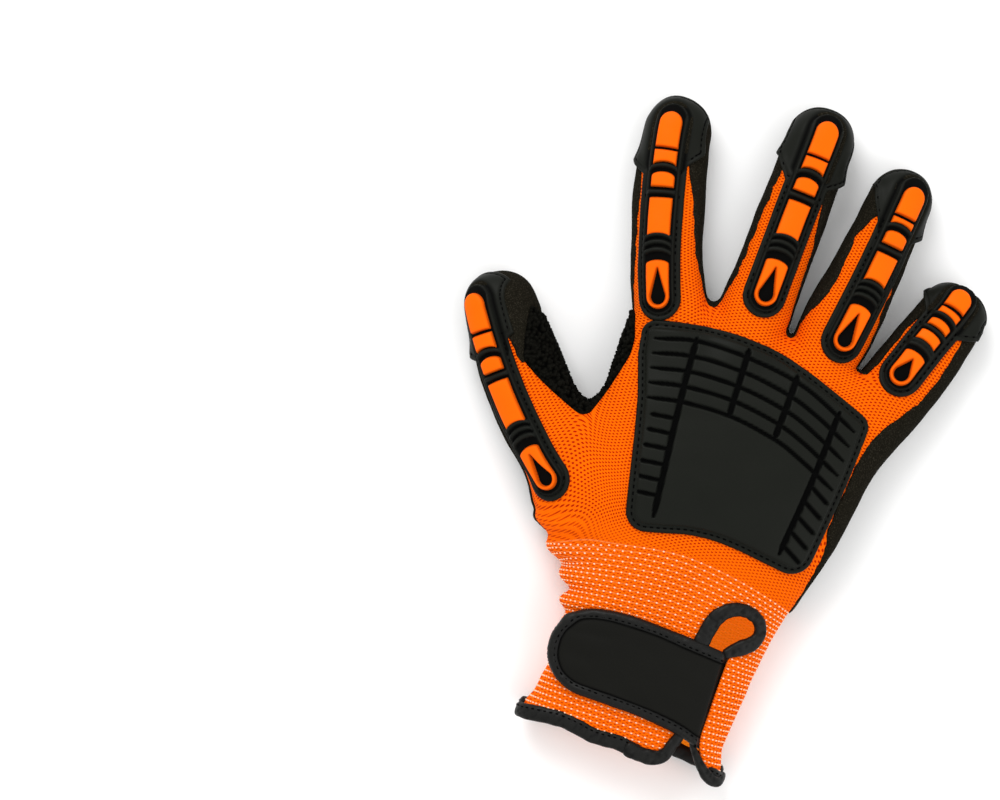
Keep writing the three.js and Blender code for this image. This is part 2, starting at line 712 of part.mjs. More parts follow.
// The coating of the palm and of all the fingers.
function coating() {
  const cutters = FINGERS.map(fingerCoatCutter);
  const rooms = FINGERS.map(guardRoom);
  const taken = [...cutters, ...rooms].reduce((sum, next) => sum.add(next), palmCoatCutter());
  return layer(CLEARANCE, CLEARANCE + COATING)
    .subtract(taken)
    .subtract(coatHem())
    .subtract(patchRoom(CLEARANCE))
    .subtract(plateRoom());
}

// A finger's sleeve out to an offset, from a margin before the line where it starts.
function sleeveRoom(finger, offset, margin) {
  const start = finger.sleeveStart * finger.length - margin;
  const far = finger.length + finger.width;
  const side = finger.width;
  const outline = [
    fingerPoint(finger, start, -side),
    fingerPoint(finger, start, side),
    fingerPoint(finger, far, side),
    fingerPoint(finger, far, -side),
  ];
  return fingerTube(finger, offset, FINGER_SIDES).intersect(prism(outline, -TALL));
}

// A skin of the whole glove, out to an offset, as the fingers' sleeves and the rest of it.
function sleeved(skin, offset) {
  const sleeves = FINGERS.map((finger) => ({
    name: finger.name,
    made: skin.intersect(sleeveRoom(finger, offset, 0)),
  }));
  const rest = FINGERS.reduce((left, finger) => left.subtract(sleeveRoom(finger, offset, CLEARANCE)), skin);
  return [{ name: "palm", made: rest }, ...sleeves];
}

// The keyhole slit in plan, from below the hem to its round top.
const SLIT_RIGHT = 0.33 * CUFF_WIDTH;
const KEYHOLE = xy(SLIT_RIGHT - 0.03 * CUFF_WIDTH, HEM + SLIT_LENGTH);
function slitOutline(margin) {
  const round = [];
  const steps = 10;
  const open = Math.asin(SLIT_TOP_WIDTH / 2 / KEYHOLE_RADIUS);
  for (let i = 0; i <= steps; i++) {
    const angle = lerp(-Math.PI / 2 + open, (3 * Math.PI) / 2 - open, i / steps);
    round.push(xy(Math.cos(angle), Math.sin(angle)).multiplyScalar(KEYHOLE_RADIUS).add(KEYHOLE));
  }
  const low = HEM - 2 * HEM_OVERRUN;
  return grown([xy(SLIT_RIGHT - SLIT_HEM_WIDTH, low), xy(SLIT_RIGHT, low), ...round], margin);
}

function liner() {
  return layer(-KNIT, 0).intersect(beyond(HEM)).subtract(prism(slitOutline(0)));
}

// Tapes fold round an edge: outside the knit, over its edge and inside it.
const TAPE_IN = -KNIT - CLEARANCE - TAPE;
const TAPE_OUT = CLEARANCE + TAPE;
const TAPE_GAP_IN = -KNIT - CLEARANCE;
const LIP = CLEARANCE + TAPE;

// The strap in plan: from under the slit's right edge to a round end on the other side of the cuff.
const STRAP_TOP = HEM + 0.71 * CUFF_LENGTH;
const STRAP_LOW = STRAP_TOP - STRAP_WIDTH;
const STRAP_SKEW = 0.1 * STRAP_WIDTH;
const STRAP_RIGHT = SLIT_RIGHT - CLEARANCE;
const STRAP_FOOT = TAPE_OUT + CLEARANCE;
const STRAP_FACE = STRAP_FOOT + STRAP;
const STRAP_ROOM = STRAP_FACE + CLEARANCE;

// The strap's outline moved in from its taped sides, and ending on the right where it is told to.
function strapOutline(inset, right) {
  const left = SLIT_RIGHT - STRAP_REACH + inset;
  const top = STRAP_TOP + STRAP_SKEW - inset;
  const low = top - STRAP_END_WIDTH + 2 * inset;
  const round = STRAP_CORNER - inset;
  const upper = new THREE.QuadraticBezierCurve(xy(left + round, top), xy(left, top), xy(left, top - round));
  const lower = new THREE.QuadraticBezierCurve(xy(left, low + round), xy(left, low), xy(left + round, low));
  const past = (right - STRAP_RIGHT) / (STRAP_RIGHT - left - round);
  const end = [
    xy(right, lerp(STRAP_LOW + inset, low, -past)),
    xy(right, lerp(STRAP_TOP - inset, top, -past)),
  ];
  return [...upper.getPoints(4), ...lower.getPoints(4), ...end];
}

function strap() {
  const low = STRAP_LOW + STRAP_BORDER;
  const top = STRAP_TOP - STRAP_BORDER;
  const riser = rectangle(STRAP_RIGHT - STRAP, low, STRAP_RIGHT, top);
  const tab = rectangle(STRAP_RIGHT - STRAP, low, SLIT_RIGHT + STRAP_TAB, top);
  return layer(STRAP_FOOT, STRAP_FACE)
    .intersect(prism(strapOutline(TAPE + CLEARANCE, STRAP_RIGHT)))
    .add(layer(TAPE_GAP_IN - STRAP, STRAP_FACE).intersect(prism(riser)))
    .add(layer(TAPE_GAP_IN - STRAP, TAPE_GAP_IN).intersect(prism(tab)));
}

function strapTape() {
  return layer(STRAP_FOOT, STRAP_ROOM + TAPE)
    .intersect(prism(strapOutline(0, STRAP_RIGHT)))
    .subtract(prism(strapOutline(STRAP_BORDER, STRAP_RIGHT + STRAP_TAB)))
    .subtract(glove(STRAP_ROOM).intersect(prism(strapOutline(TAPE, STRAP_RIGHT + STRAP_TAB))));
}

// A plan rectangle over the slit's right edge, between two lines in y.
const rightEdge = (low, high) => {
  const left = SLIT_RIGHT - LIP - CLEARANCE;
  return prism(rectangle(left, low, SLIT_RIGHT + 2 * TAPE_WIDTH, high));
};

// The tape round the keyhole and down the slit's left side, and the piece on the right side's free end.
function slitTapes() {
  const knit = layer(TAPE_GAP_IN, CLEARANCE).subtract(prism(slitOutline(-CLEARANCE)));
  const whole = layer(TAPE_IN, TAPE_OUT)
    .intersect(prism(grown(slitOutline(0), TAPE_WIDTH)))
    .subtract(prism(slitOutline(-LIP)))
    .subtract(knit)
    .intersect(beyond(HEM + TAPE_WIDTH + CLEARANCE));
  const low = HEM - HEM_OVERRUN;
  return {
    keyhole: whole.subtract(rightEdge(low, STRAP_TOP + CLEARANCE)),
    flap: whole.intersect(rightEdge(low, STRAP_LOW - CLEARANCE)),
  };
}

function hemTape() {
  return layer(TAPE_IN, TAPE_OUT)
    .intersect(beyond(HEM - LIP))
    .subtract(beyond(HEM + TAPE_WIDTH))
    .subtract(layer(TAPE_GAP_IN, CLEARANCE).intersect(beyond(HEM - CLEARANCE)))
    .subtract(prism(slitOutline(0)));
}

// The largest body of a solid, without the crumbs that a cut leaves.
function largest(made) {
  return made.decompose().reduce((most, next) => (next.volume() > most.volume() ? next : most));
}

// Nodes
const group = new THREE.Group();
function add(name, made, material) {
  const mesh = largest(made.simplify(SLIVER)).getMesh();
  const positions = new Float32Array(mesh.numVert * 3);
  for (let i = 0; i < mesh.numVert; i++) {
    positions.set(mesh.vertProperties.subarray(i * mesh.numProp, i * mesh.numProp + 3), i * 3);
  }
  const geometry = new THREE.BufferGeometry();
  geometry.setAttribute("position", new THREE.BufferAttribute(positions, 3));
  geometry.setIndex(new THREE.BufferAttribute(new Uint32Array(mesh.triVerts), 1));
  geometry.computeVertexNormals();
  const node = new THREE.Mesh(geometry, material);
  node.name = name;
  group.add(node);
}
const paint = (color, roughness) => new THREE.MeshStandardMaterial({ color, roughness });
const knit = paint(0xff6e00, 0.95);
const nitrile = paint(0x2d2a23, 0.9);
const terry = paint(0x12120f, 1.0);
const rubber = paint(0x20211c, 0.55);
const orangeRubber = paint(0xff6c00, 0.55);
for (const sleeve of sleeved(liner(), CLEARANCE / 2)) {
  add(sleeve.name + "_knit", sleeve.made, knit);
}
for (const sleeve of sleeved(coating(), CLEARANCE + COATING + CLEARANCE / 2)) {
  add(sleeve.name + "_coating", sleeve.made, nitrile);
}
const tapes = slitTapes();
add("keyhole_tape", tapes.keyhole, terry);
add("flap_tape", tapes.flap, terry);
add("hem_tape", hemTape(), terry);
add("strap", strap(), terry);
add("strap_tape", strapTape(), terry);
add("crotch_patch", crotchPatch(), terry);
add("back_guard", backPlate(), rubber);
for (const finger of FINGERS) {
  add(finger.name + "_guard", fingerGuard(finger), rubber);
  for (const pad of guardPattern(finger).pads) {
    add(finger.name + "_pad_" + pad.name, guardPad(finger, pad), orangeRubber);
  }
}

// The origin is at the middle of the glove's footprint, on the surface it lies on.
const bounds = new THREE.Box3().setFromObject(group);
group.position.set(-(bounds.min.x + bounds.max.x) / 2, -(bounds.min.y + bounds.max.y) / 2, -bounds.min.z);

export default group;
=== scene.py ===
"""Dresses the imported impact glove: knit, dipped coating, moulded guards and pads, strap and tapes.

Shapes are worked out in the hand frame, in millimetres: x towards the little finger, y towards the
fingertips and z up from the table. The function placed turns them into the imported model's frame.
"""
import functools
import itertools
import logging
import math
from dataclasses import dataclass
from enum import Enum
from typing import Callable, Sequence

import bpy
import numpy as np
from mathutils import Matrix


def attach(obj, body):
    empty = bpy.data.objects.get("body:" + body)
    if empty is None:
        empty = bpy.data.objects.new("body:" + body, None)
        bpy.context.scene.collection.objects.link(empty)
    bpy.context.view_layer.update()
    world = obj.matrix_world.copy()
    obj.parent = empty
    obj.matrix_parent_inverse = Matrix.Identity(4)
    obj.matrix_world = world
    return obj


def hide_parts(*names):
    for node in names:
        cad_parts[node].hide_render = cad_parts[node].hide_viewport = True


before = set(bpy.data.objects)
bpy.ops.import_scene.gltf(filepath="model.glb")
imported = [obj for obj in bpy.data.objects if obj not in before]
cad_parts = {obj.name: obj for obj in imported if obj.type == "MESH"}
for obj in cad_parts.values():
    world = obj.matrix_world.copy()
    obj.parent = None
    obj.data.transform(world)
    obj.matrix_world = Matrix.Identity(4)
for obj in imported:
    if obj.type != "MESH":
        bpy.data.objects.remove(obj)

log = logging.getLogger("glove")
Array = np.ndarray
Rows = Sequence[Sequence[float]]
Piece = bpy.types.Object

HAND_TO_ROW = np.array([15.547, -0.728, 0.0])
MILLIMETRE = 0.001
FLOOR = 1.05
UP = np.array([0.0, 0.0, 1.0])
KNIT = 1.4
COAT = 0.95
FINGERS = ("thumb", "index", "middle", "ring", "little")
KNIT_STEP = 1.34
TABLE_CLEARANCE = 0.08
WEAVE_UNIT = 100.0


def placed(points: Array) -> Array:
    """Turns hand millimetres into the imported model's metres: (point + shift) / 1000."""
    return (points + HAND_TO_ROW) * MILLIMETRE


# Numbers


def eased(value: Array) -> Array:
    """A smooth step: 0 below 0, 1 above 1 and 3v^2 - 2v^3 between."""
    share = np.clip(value, 0.0, 1.0)
    return share * share * (3.0 - 2.0 * share)


def unit(vectors: Array) -> Array:
    """Each vector over its length."""
    return vectors / np.maximum(np.linalg.norm(vectors, axis=-1, keepdims=True), 1e-12)


def soft_least(a: Array, b: Array, reach: float) -> Array:
    """The lesser of two distances, with a fillet: min(a, b) - reach h^2 / 4, h = 1 - |a - b| / reach."""
    near = np.maximum(reach - np.abs(a - b), 0.0) / reach
    return np.minimum(a, b) - near * near * reach / 4.0


def soft_most(a: Array, b: Array, reach: float) -> Array:
    """The greater of two distances, with a rounded edge."""
    return -soft_least(-a, -b, reach)


class Column:
    """A table's column, read in straight lines between its rows and then rounded over a window."""

    def __init__(self, rows: Rows, window: float, column: int = 1) -> None:
        """Samples the column finely.

        Args:
            rows: the table's rows, the first value of each being its place.
            window: how far the rounding reaches, in the unit of the places.
            column: which value of a row is read.
        """
        table = np.array(rows, float)
        self.places = np.linspace(table[0, 0] - window, table[-1, 0] + window, 500)
        straight = np.interp(self.places, table[:, 0], table[:, column])
        half = max(1, int(window / (self.places[1] - self.places[0])))
        kernel = np.hanning(2 * half + 3)
        padded = np.pad(straight, half + 1, mode="edge")
        self.values = np.convolve(padded, kernel / kernel.sum(), mode="valid")

    def __call__(self, where: Array) -> Array:
        """The column's value at each place."""
        return np.interp(where, self.places, self.values)


class Ripples:
    """Smooth noise in space: twice the mean of a few sine waves with random headings and phases."""

    def __init__(self, seed: int, wavelength: float, count: int = 9) -> None:
        """Draws the waves.

        Args:
            seed: the random seed.
            wavelength: the middle wavelength in millimetres.
            count: how many waves are added.
        """
        random = np.random.default_rng(seed)
        heading = unit(random.normal(size=(count, 3)))
        self.waves = heading * random.uniform(0.7, 1.4, (count, 1)) * 2 * math.pi / wavelength
        self.phases = random.uniform(0.0, 2 * math.pi, count)

    def __call__(self, points: Array) -> Array:
        """The noise at each point, about -1 to 1."""
        return 2.0 * np.sin(points @ self.waves.T + self.phases).mean(axis=-1)


def pebbles(points: Array, size: float) -> Array:
    """The distance to the nearest of one scattered point per cube, as a share of the cube's side."""
    scaled = points / size
    cube = np.floor(scaled)
    nearest = np.full(len(points), 9.0)
    for corner in itertools.product((-1, 0, 1), repeat=3):
        other = cube + corner
        mixed = other @ np.array([[12.99, 39.35, 73.16], [78.23, 11.14, 52.24], [37.72, 83.16, 9.15]])
        spot = other + np.modf(np.abs(np.sin(mixed) * 4375.5453))[0]
        nearest = np.minimum(nearest, np.linalg.norm(scaled - spot, axis=1))
    return nearest


def curve(points: Rows, spacing: float, closed: bool = False) -> Array:
    """A smooth line through a few points, with points at even steps along it.

    Each stretch is a Catmull-Rom cubic, 0.5 * (2b + (c - a)t + (2a - 5b + 4c - d)t^2 + (3b - a - 3c + d)t^3).

    Args:
        points: the points that it passes through, with any number of values each.
        spacing: the step along it, measured in the first two or three values.
        closed: whether it ends where it begins.

    Returns:
        The points along it, without a repeat of the first when it is closed.
    """
    knots = np.array(points, float)
    ends = (knots[-1:], knots[:2]) if closed else (2 * knots[:1] - knots[1:2], 2 * knots[-1:] - knots[-2:-1])
    full = np.concatenate([ends[0], knots, ends[1]])
    t = np.linspace(0.0, 1.0, 24, endpoint=False)[None, :, None]
    a, b, c, d = (full[k : len(full) - 3 + k, None, :] for k in range(4))
    fine = 0.5 * (2 * b + (c - a) * t + (2 * a - 5 * b + 4 * c - d) * t**2 + (3 * b - a - 3 * c + d) * t**3)
    fine = np.concatenate([fine.reshape(-1, knots.shape[1]), knots[:1] if closed else knots[-1:]])
    return even(fine, spacing, closed)


def even(line: Array, spacing: float, closed: bool = False) -> Array:
    """The same line with points at even steps, read in straight lines between its own."""
    steps = np.linalg.norm(np.diff(line[:, :3], axis=0), axis=1)
    run = np.concatenate([[0.0], np.cumsum(steps)])
    count = max(4, int(round(run[-1] / spacing)))
    places = np.linspace(0.0, run[-1], count + 1)[: count if closed else count + 1]
    return np.stack([np.interp(places, run, line[:, k]) for k in range(line.shape[1])], axis=1)


def rounded(corners: Rows, spacing: float = 0.8) -> Array:
    """A closed outline through corners that each carry a radius, as x, y, radius.

    A corner is an arc of a circle that leaves and meets the two sides at its radius from the corner:
    the mean of start, corner and stop with the weights (1 - t)^2, 2 w t (1 - t) and t^2, w = cos(turn / 2).
    """
    table = np.array(corners, float)
    spots = table[:, :2]
    before = unit(np.roll(spots, 1, axis=0) - spots)
    after = unit(np.roll(spots, -1, axis=0) - spots)
    t = np.linspace(0.0, 1.0, 9)[None, :, None]
    start = (spots + before * table[:, 2:])[:, None]
    stop = (spots + after * table[:, 2:])[:, None]
    weight = np.sqrt((1.0 - (before * after).sum(1)) / 2.0)[:, None, None]
    shares = (1 - t) ** 2, 2 * weight * t * (1 - t), t**2
    arcs = (shares[0] * start + shares[1] * spots[:, None] + shares[2] * stop) / sum(shares)
    line = arcs.reshape(-1, 2)
    return even(np.concatenate([line, line[:1]]), spacing, closed=True)


def depth_inside(x: Array, y: Array, outline: Array) -> Array:
    """How deep places lie inside an outline.

    The depth is the distance to the nearest side, positive where a ray crosses the sides an odd
    number of times.

    Args:
        x: the places' first values.
        y: the places' second values.
        outline: the outline's points.

    Returns:
        The depths, in the shape of x.
    """
    depth = np.full(x.shape, 1e9)
    odd = np.zeros(x.shape, bool)
    for (ax, ay), (bx, by) in zip(outline, np.roll(outline, -1, axis=0)):
        sx, sy = bx - ax, by - ay
        share = np.clip(((x - ax) * sx + (y - ay) * sy) / max(sx * sx + sy * sy, 1e-9), 0.0, 1.0)
        depth = np.minimum(depth, np.hypot(x - ax - share * sx, y - ay - share * sy))
        if ay != by:
            odd ^= ((ay > y) != (by > y)) & (x < (bx - ax) * (y - ay) / (by - ay) + ax)
    return np.where(odd, depth, -depth)


def line_gap(x: Array, y: Array, line: Array) -> tuple[Array, Array]:
    """The distance to an open line, and the share of the line's length at its nearest point."""
    side = np.diff(line[:, :2], axis=0)
    length = np.linalg.norm(side, axis=1)
    run = np.concatenate([[0.0], np.cumsum(length)])
    gap = np.full(x.shape, 1e9)
    place = np.zeros(x.shape)
    for (ax, ay), (sx, sy), size, begun in zip(line[:-1, :2], side, length, run):
        share = np.clip(((x - ax) * sx + (y - ay) * sy) / max(size * size, 1e-9), 0.0, 1.0)
        here = np.hypot(x - ax - share * sx, y - ay - share * sy)
        closer = here < gap
        gap = np.where(closer, here, gap)
        place = np.where(closer, begun + share * size, place)
    return gap, place / run[-1]


def shoulder(depth: Array, radius: float) -> Array:
    """A rounded edge's height as a share of the full one: sqrt(1 - (1 - depth / radius)^2)."""
    share = np.clip(depth / radius, 0.0, 1.0)
    return np.sqrt(1.0 - (1.0 - share) ** 2)


# The glove's form


@dataclass(frozen=True)
class Finger:
    """One finger of the glove: a bent tube with a rounded section and a domed end."""

    name: str
    root: tuple[float, float]
    length: float
    width: float
    thickness: float
    lean_root: float
    lean_tip: float
    widths: Rows
    sink: float = 1.2
    dome: float = 0.87
    roundness: float = 2.25

    @functools.cached_property
    def width_column(self) -> Column:
        """The width as a share of the full one, by the share of the length."""
        return Column(self.widths, 0.05)

    @property
    def bend(self) -> float:
        """The turn of the middle line for each millimetre along it."""
        return math.radians(self.lean_tip - self.lean_root) / self.length

    def middle(self, along: Array) -> Array:
        """Plan points of the middle line, an arc: root + chord at the mean of the two leans."""
        turn = np.asarray(along, float) * self.bend
        lean = math.radians(self.lean_root) + turn / 2
        chord = along * np.sinc(turn / 2 / math.pi)
        return np.stack([self.root[0] + chord * np.sin(lean), self.root[1] + chord * np.cos(lean)], axis=-1)

    def heading(self, along: Array) -> Array:
        """Unit vectors along the finger, level with the table."""
        lean = math.radians(self.lean_root) + np.asarray(along, float) * self.bend
        return np.stack([np.sin(lean), np.cos(lean), 0 * lean], axis=-1)

    def right(self, along: Array) -> Array:
        """Unit vectors across the finger, towards the little finger's side."""
        ahead = self.heading(along)
        return np.stack([ahead[..., 1], -ahead[..., 0], ahead[..., 2]], axis=-1)

    def places(self, x: Array, y: Array) -> tuple[Array, Array]:
        """How far along and across the finger plan points lie, from the middle line's circle."""
        reach = 1.0 / self.bend if abs(self.bend) > 1e-6 else 1e6
        lean = math.radians(self.lean_root)
        dx = x - self.root[0] - reach * math.cos(lean)
        dy = y - self.root[1] + reach * math.sin(lean)
        away = np.hypot(dx, dy)
        side = -math.copysign(1.0, reach)
        angle = np.arctan2(-side * dy, side * dx)
        return (angle - lean) * reach, reach - math.copysign(1.0, reach) * away

    def rise(self, along: Array) -> Array:
        """The crest's height over the floor."""
        share = np.clip(along / self.length, 0.0, self.dome)
        return self.thickness * np.interp(share, (0.0, 0.3, 0.6, 0.87), (1.12, 1.08, 1.0, 0.92))

    def half_sizes(self, along: Array) -> tuple[Array, Array, Array]:
        """Half the width, half the height and the middle's height of the section."""
        share = np.clip(along / self.length, 0.0, 1.0)
        rise = self.rise(along)
        half = (rise + self.sink) / 2
        return self.width / 2 * self.width_column(share), half, FLOOR + rise - half

    def distance(self, points: Array) -> Array:
        """A signed distance to the finger, negative inside it."""
        along, across = self.places(points[..., 0], points[..., 1])
        wide, high, level = self.half_sizes(along)
        end = self.dome * self.length
        ahead = np.maximum(along - end, 0.0)
        behind = np.maximum(-along, 0.0)
        return rounded_distance(
            (across, points[..., 2] - level, ahead + behind), (wide, high, self.length - end), self.roundness
        )


def rounded_distance(offsets: Sequence[Array], halves: Sequence, power: float) -> Array:
    """A signed distance to a rounded box: (g - 1) / |slope of g|, g = (sum |offset / half|^n)^(1/n)."""
    shares = [np.abs(offset) / half + 1e-6 for offset, half in zip(offsets, halves)]
    lifted = [share ** (power - 1.0) for share in shares]
    size = sum(share * lift for share, lift in zip(shares, lifted)) ** (1.0 / power)
    slope = np.sqrt(sum((lift / half) ** 2 for lift, half in zip(lifted, halves))) * size ** (1.0 - power)
    return (size - 1.0) / slope


# Palm and cuff, from below the hem to the webs: y, left edge, right edge and crest's height.
BODY = (
    (-142, -51, 37.5, 21.5), (-130, -49.5, 36.2, 21.8), (-124, -46.5, 35, 22.2),
    (-117, -43, 33.6, 22.6), (-106, -40.8, 34.3, 24), (-95, -40.2, 35.6, 25),
    (-84, -40.4, 37.2, 25.6), (-80, -43.2, 37.9, 26), (-77, -42.4, 38.3, 25.6),
    (-74.5, -41.2, 38.7, 25.6), (-72, -45.2, 39.2, 26.4), (-69, -46.4, 39.9, 26.2),
    (-66, -47, 40.6, 26.4), (-63, -52.6, 41.4, 27), (-59, -54.4, 42.6, 27),
    (-56, -55.2, 43.6, 27.2), (-51, -60.4, 45.2, 27.6), (-44, -60.5, 47.4, 28.4),
    (-30, -58.5, 51.4, 29.4), (-18, -55.6, 53.8, 29.9), (-8, -52, 55.6, 29.4),
    (5, -49.6, 57.4, 28.4), (14, -49.4, 60, 27.2), (24, -49.2, 62.4, 25.5),
    (31, -48.6, 62.6, 23.4), (36, -46.6, 57, 21), (41, -41, 24, 17.8),
    (46, -31, 10, 15),
)
BODY_SINK = 2.0
BODY_ROUNDNESS = 2.55
WEB_START = 37.0
WEB_END = 47.5

FINGER_FORMS = (
    Finger("thumb", (-44.0, -39.0), 95.0, 30.6, 23.0, -52.0, -28.0,
           ((0.0, 0.92), (0.2, 0.99), (0.44, 1.02), (0.57, 1.0), (0.68, 0.97), (0.8, 0.9), (0.9, 0.84),
            (1.0, 0.82))),
    Finger("index", (-27.8, 24.5), 99.0, 26.0, 20.5, -28.0, -2.0,
           ((0.0, 0.95), (0.2, 1.06), (0.3, 1.04), (0.42, 0.99), (0.5, 1.01), (0.6, 1.03), (0.72, 0.99),
            (0.84, 0.93), (0.93, 0.9), (1.0, 0.88))),
    Finger("middle", (-5.35, 23.0), 108.5, 25.3, 21.0, 3.8, 3.8,
           ((0.0, 0.95), (0.15, 1.04), (0.25, 1.08), (0.35, 1.03), (0.5, 1.0), (0.6, 1.0), (0.73, 0.96),
            (0.84, 0.97), (0.93, 0.97), (1.0, 0.96))),
    Finger("ring", (23.3, 23.0), 96.0, 25.2, 20.5, 11.0, 8.0,
           ((0.0, 0.95), (0.2, 1.05), (0.3, 1.11), (0.41, 1.09), (0.5, 1.02), (0.63, 0.97), (0.73, 0.91),
            (0.83, 0.91), (0.93, 0.88), (1.0, 0.86))),
    Finger("little", (44.4, 7.2), 78.5, 28.0, 19.0, 26.0, 17.0,
           ((0.0, 0.93), (0.3, 1.02), (0.5, 1.0), (0.66, 0.98), (0.76, 0.93), (0.85, 0.88), (0.93, 0.86),
            (1.0, 0.84))),
)


@dataclass
class GloveForm:
    """The knit's outer surface, as a signed distance that joins the palm, the cuff and the fingers."""

    web_fillet: float = 1.6
    knuckle_fillet: float = 4.5
    thumb_fillet: float = 15.0
    table_fillet: float = 2.5
    crease: float = 0.75
    crease_gap: float = 9.6
    crease_reach: float = 20.0
    sway_height: float = 0.22
    crumple_palm: float = 0.1
    crumple_cuff: float = 0.14

    def __post_init__(self) -> None:
        """Reads the palm's and cuff's table."""
        self.fingers = {finger.name: finger for finger in FINGER_FORMS}
        self.left = Column(BODY, 1.6, 1)
        self.right = Column(BODY, 2.4, 2)
        self.crest = Column(BODY, 5.0, 3)
        self.sway = Ripples(4, 34.0)
        self.crumple = Ripples(9, 11.0)

    def body(self, points: Array) -> Array:
        """The distance to the palm and cuff: a rounded section between the table's edges at each y."""
        y = points[..., 1]
        left, right, rise = self.left(y), self.right(y), self.crest(y)
        half = (rise + BODY_SINK) / 2
        ahead = np.maximum(y - WEB_START, 0.0)
        return rounded_distance(
            (points[..., 0] - (left + right) / 2, points[..., 2] - (FLOOR + rise - half), ahead),
            ((right - left) / 2, half, WEB_END - WEB_START),
            BODY_ROUNDNESS,
        )

    def folds(self, points: Array) -> Array:
        """How far the cloth stands out: wrist creases from the thumb's side, and a faint unevenness."""
        x, y = points[..., 0], points[..., 1]
        edge = self.left(y)
        fade = np.exp(-(((x - edge) / self.crease_reach) ** 2))
        wrist = eased((y + 92.0) / 10.0) * eased((-44.0 - y) / 8.0)
        wave = np.cos((y + 69.5 - 0.16 * (x + 45.0)) * 2 * math.pi / self.crease_gap)
        cuff = eased((-60.0 - y) / 30.0)
        crumpled = (self.crumple_palm + self.crumple_cuff * cuff) * self.crumple(points)
        return self.crease * wrist * fade * wave + self.sway_height * self.sway(points) + crumpled

    def field(self, points: Array) -> Array:
        """The signed distance to the whole surface, flat where it lies on the table."""
        fingers = {name: finger.distance(points) for name, finger in self.fingers.items()}
        joined = fingers["index"]
        for name in ("middle", "ring", "little"):
            joined = soft_least(joined, fingers[name], self.web_fillet)
        hand = soft_least(self.body(points), joined, self.knuckle_fillet)
        whole = soft_least(hand, fingers["thumb"], self.thumb_fillet) - self.folds(points)
        return soft_most(whole, FLOOR - points[..., 2], self.table_fillet)

    def slope(self, points: Array, reach: float = 0.15) -> Array:
        """The field's slope, from its values a little to each side."""
        sides = []
        for axis in range(3):
            shift = np.zeros(3)
            shift[axis] = reach
            sides.append((self.field(points + shift) - self.field(points - shift)) / (2 * reach))
        return np.stack(sides, axis=-1)

    def settled(self, points: Array, rounds: int = 3) -> Array:
        """Points moved onto the surface along the slope: p - F * slope / |slope|^2, a few times."""
        for _ in range(rounds):
            slope = self.slope(points)
            size = np.maximum((slope**2).sum(axis=-1, keepdims=True), 1e-6)
            points = points - np.clip(self.field(points)[..., None] / size, -1.0, 1.0) * slope
        return points

    def cast(self, starts: Array, headings: Array, reach: float = 40.0) -> Array:
        """Where rays from inside leave the surface, found by halving the stretch that holds it."""
        low = np.zeros(starts.shape[:-1])
        high = np.full(starts.shape[:-1], reach)
        for _ in range(22):
            middle = (low + high) / 2
            inside = self.field(starts + middle[..., None] * headings) < 0
            low = np.where(inside, middle, low)
            high = np.where(inside, high, middle)
        return starts + ((low + high) / 2)[..., None] * headings

    def top(self, x: Array, y: Array, start: float = 9.0) -> Array:
        """The upper surface's points over plan places inside the glove's outline."""
        below = np.stack([x, y, np.full(np.shape(x), start)], axis=-1)
        return self.cast(below, np.broadcast_to([0.0, 0.0, 1.0], below.shape), 30.0)

    def shares(self, points: Array, width: float = 1.5) -> tuple[list[Array], list[Array]]:
        """The distances to each part, and each part's share of a point: exp(-(distance - least) / width)."""
        gaps = [self.body(points)] + [finger.distance(points) for finger in self.fingers.values()]
        least = np.minimum.reduce(gaps)
        weights = [np.exp(-np.clip(gap - least, 0.0, 60.0) / width) for gap in gaps]
        total = sum(weights)
        return gaps, [weight / total for weight in weights]


# Sheets of triangles


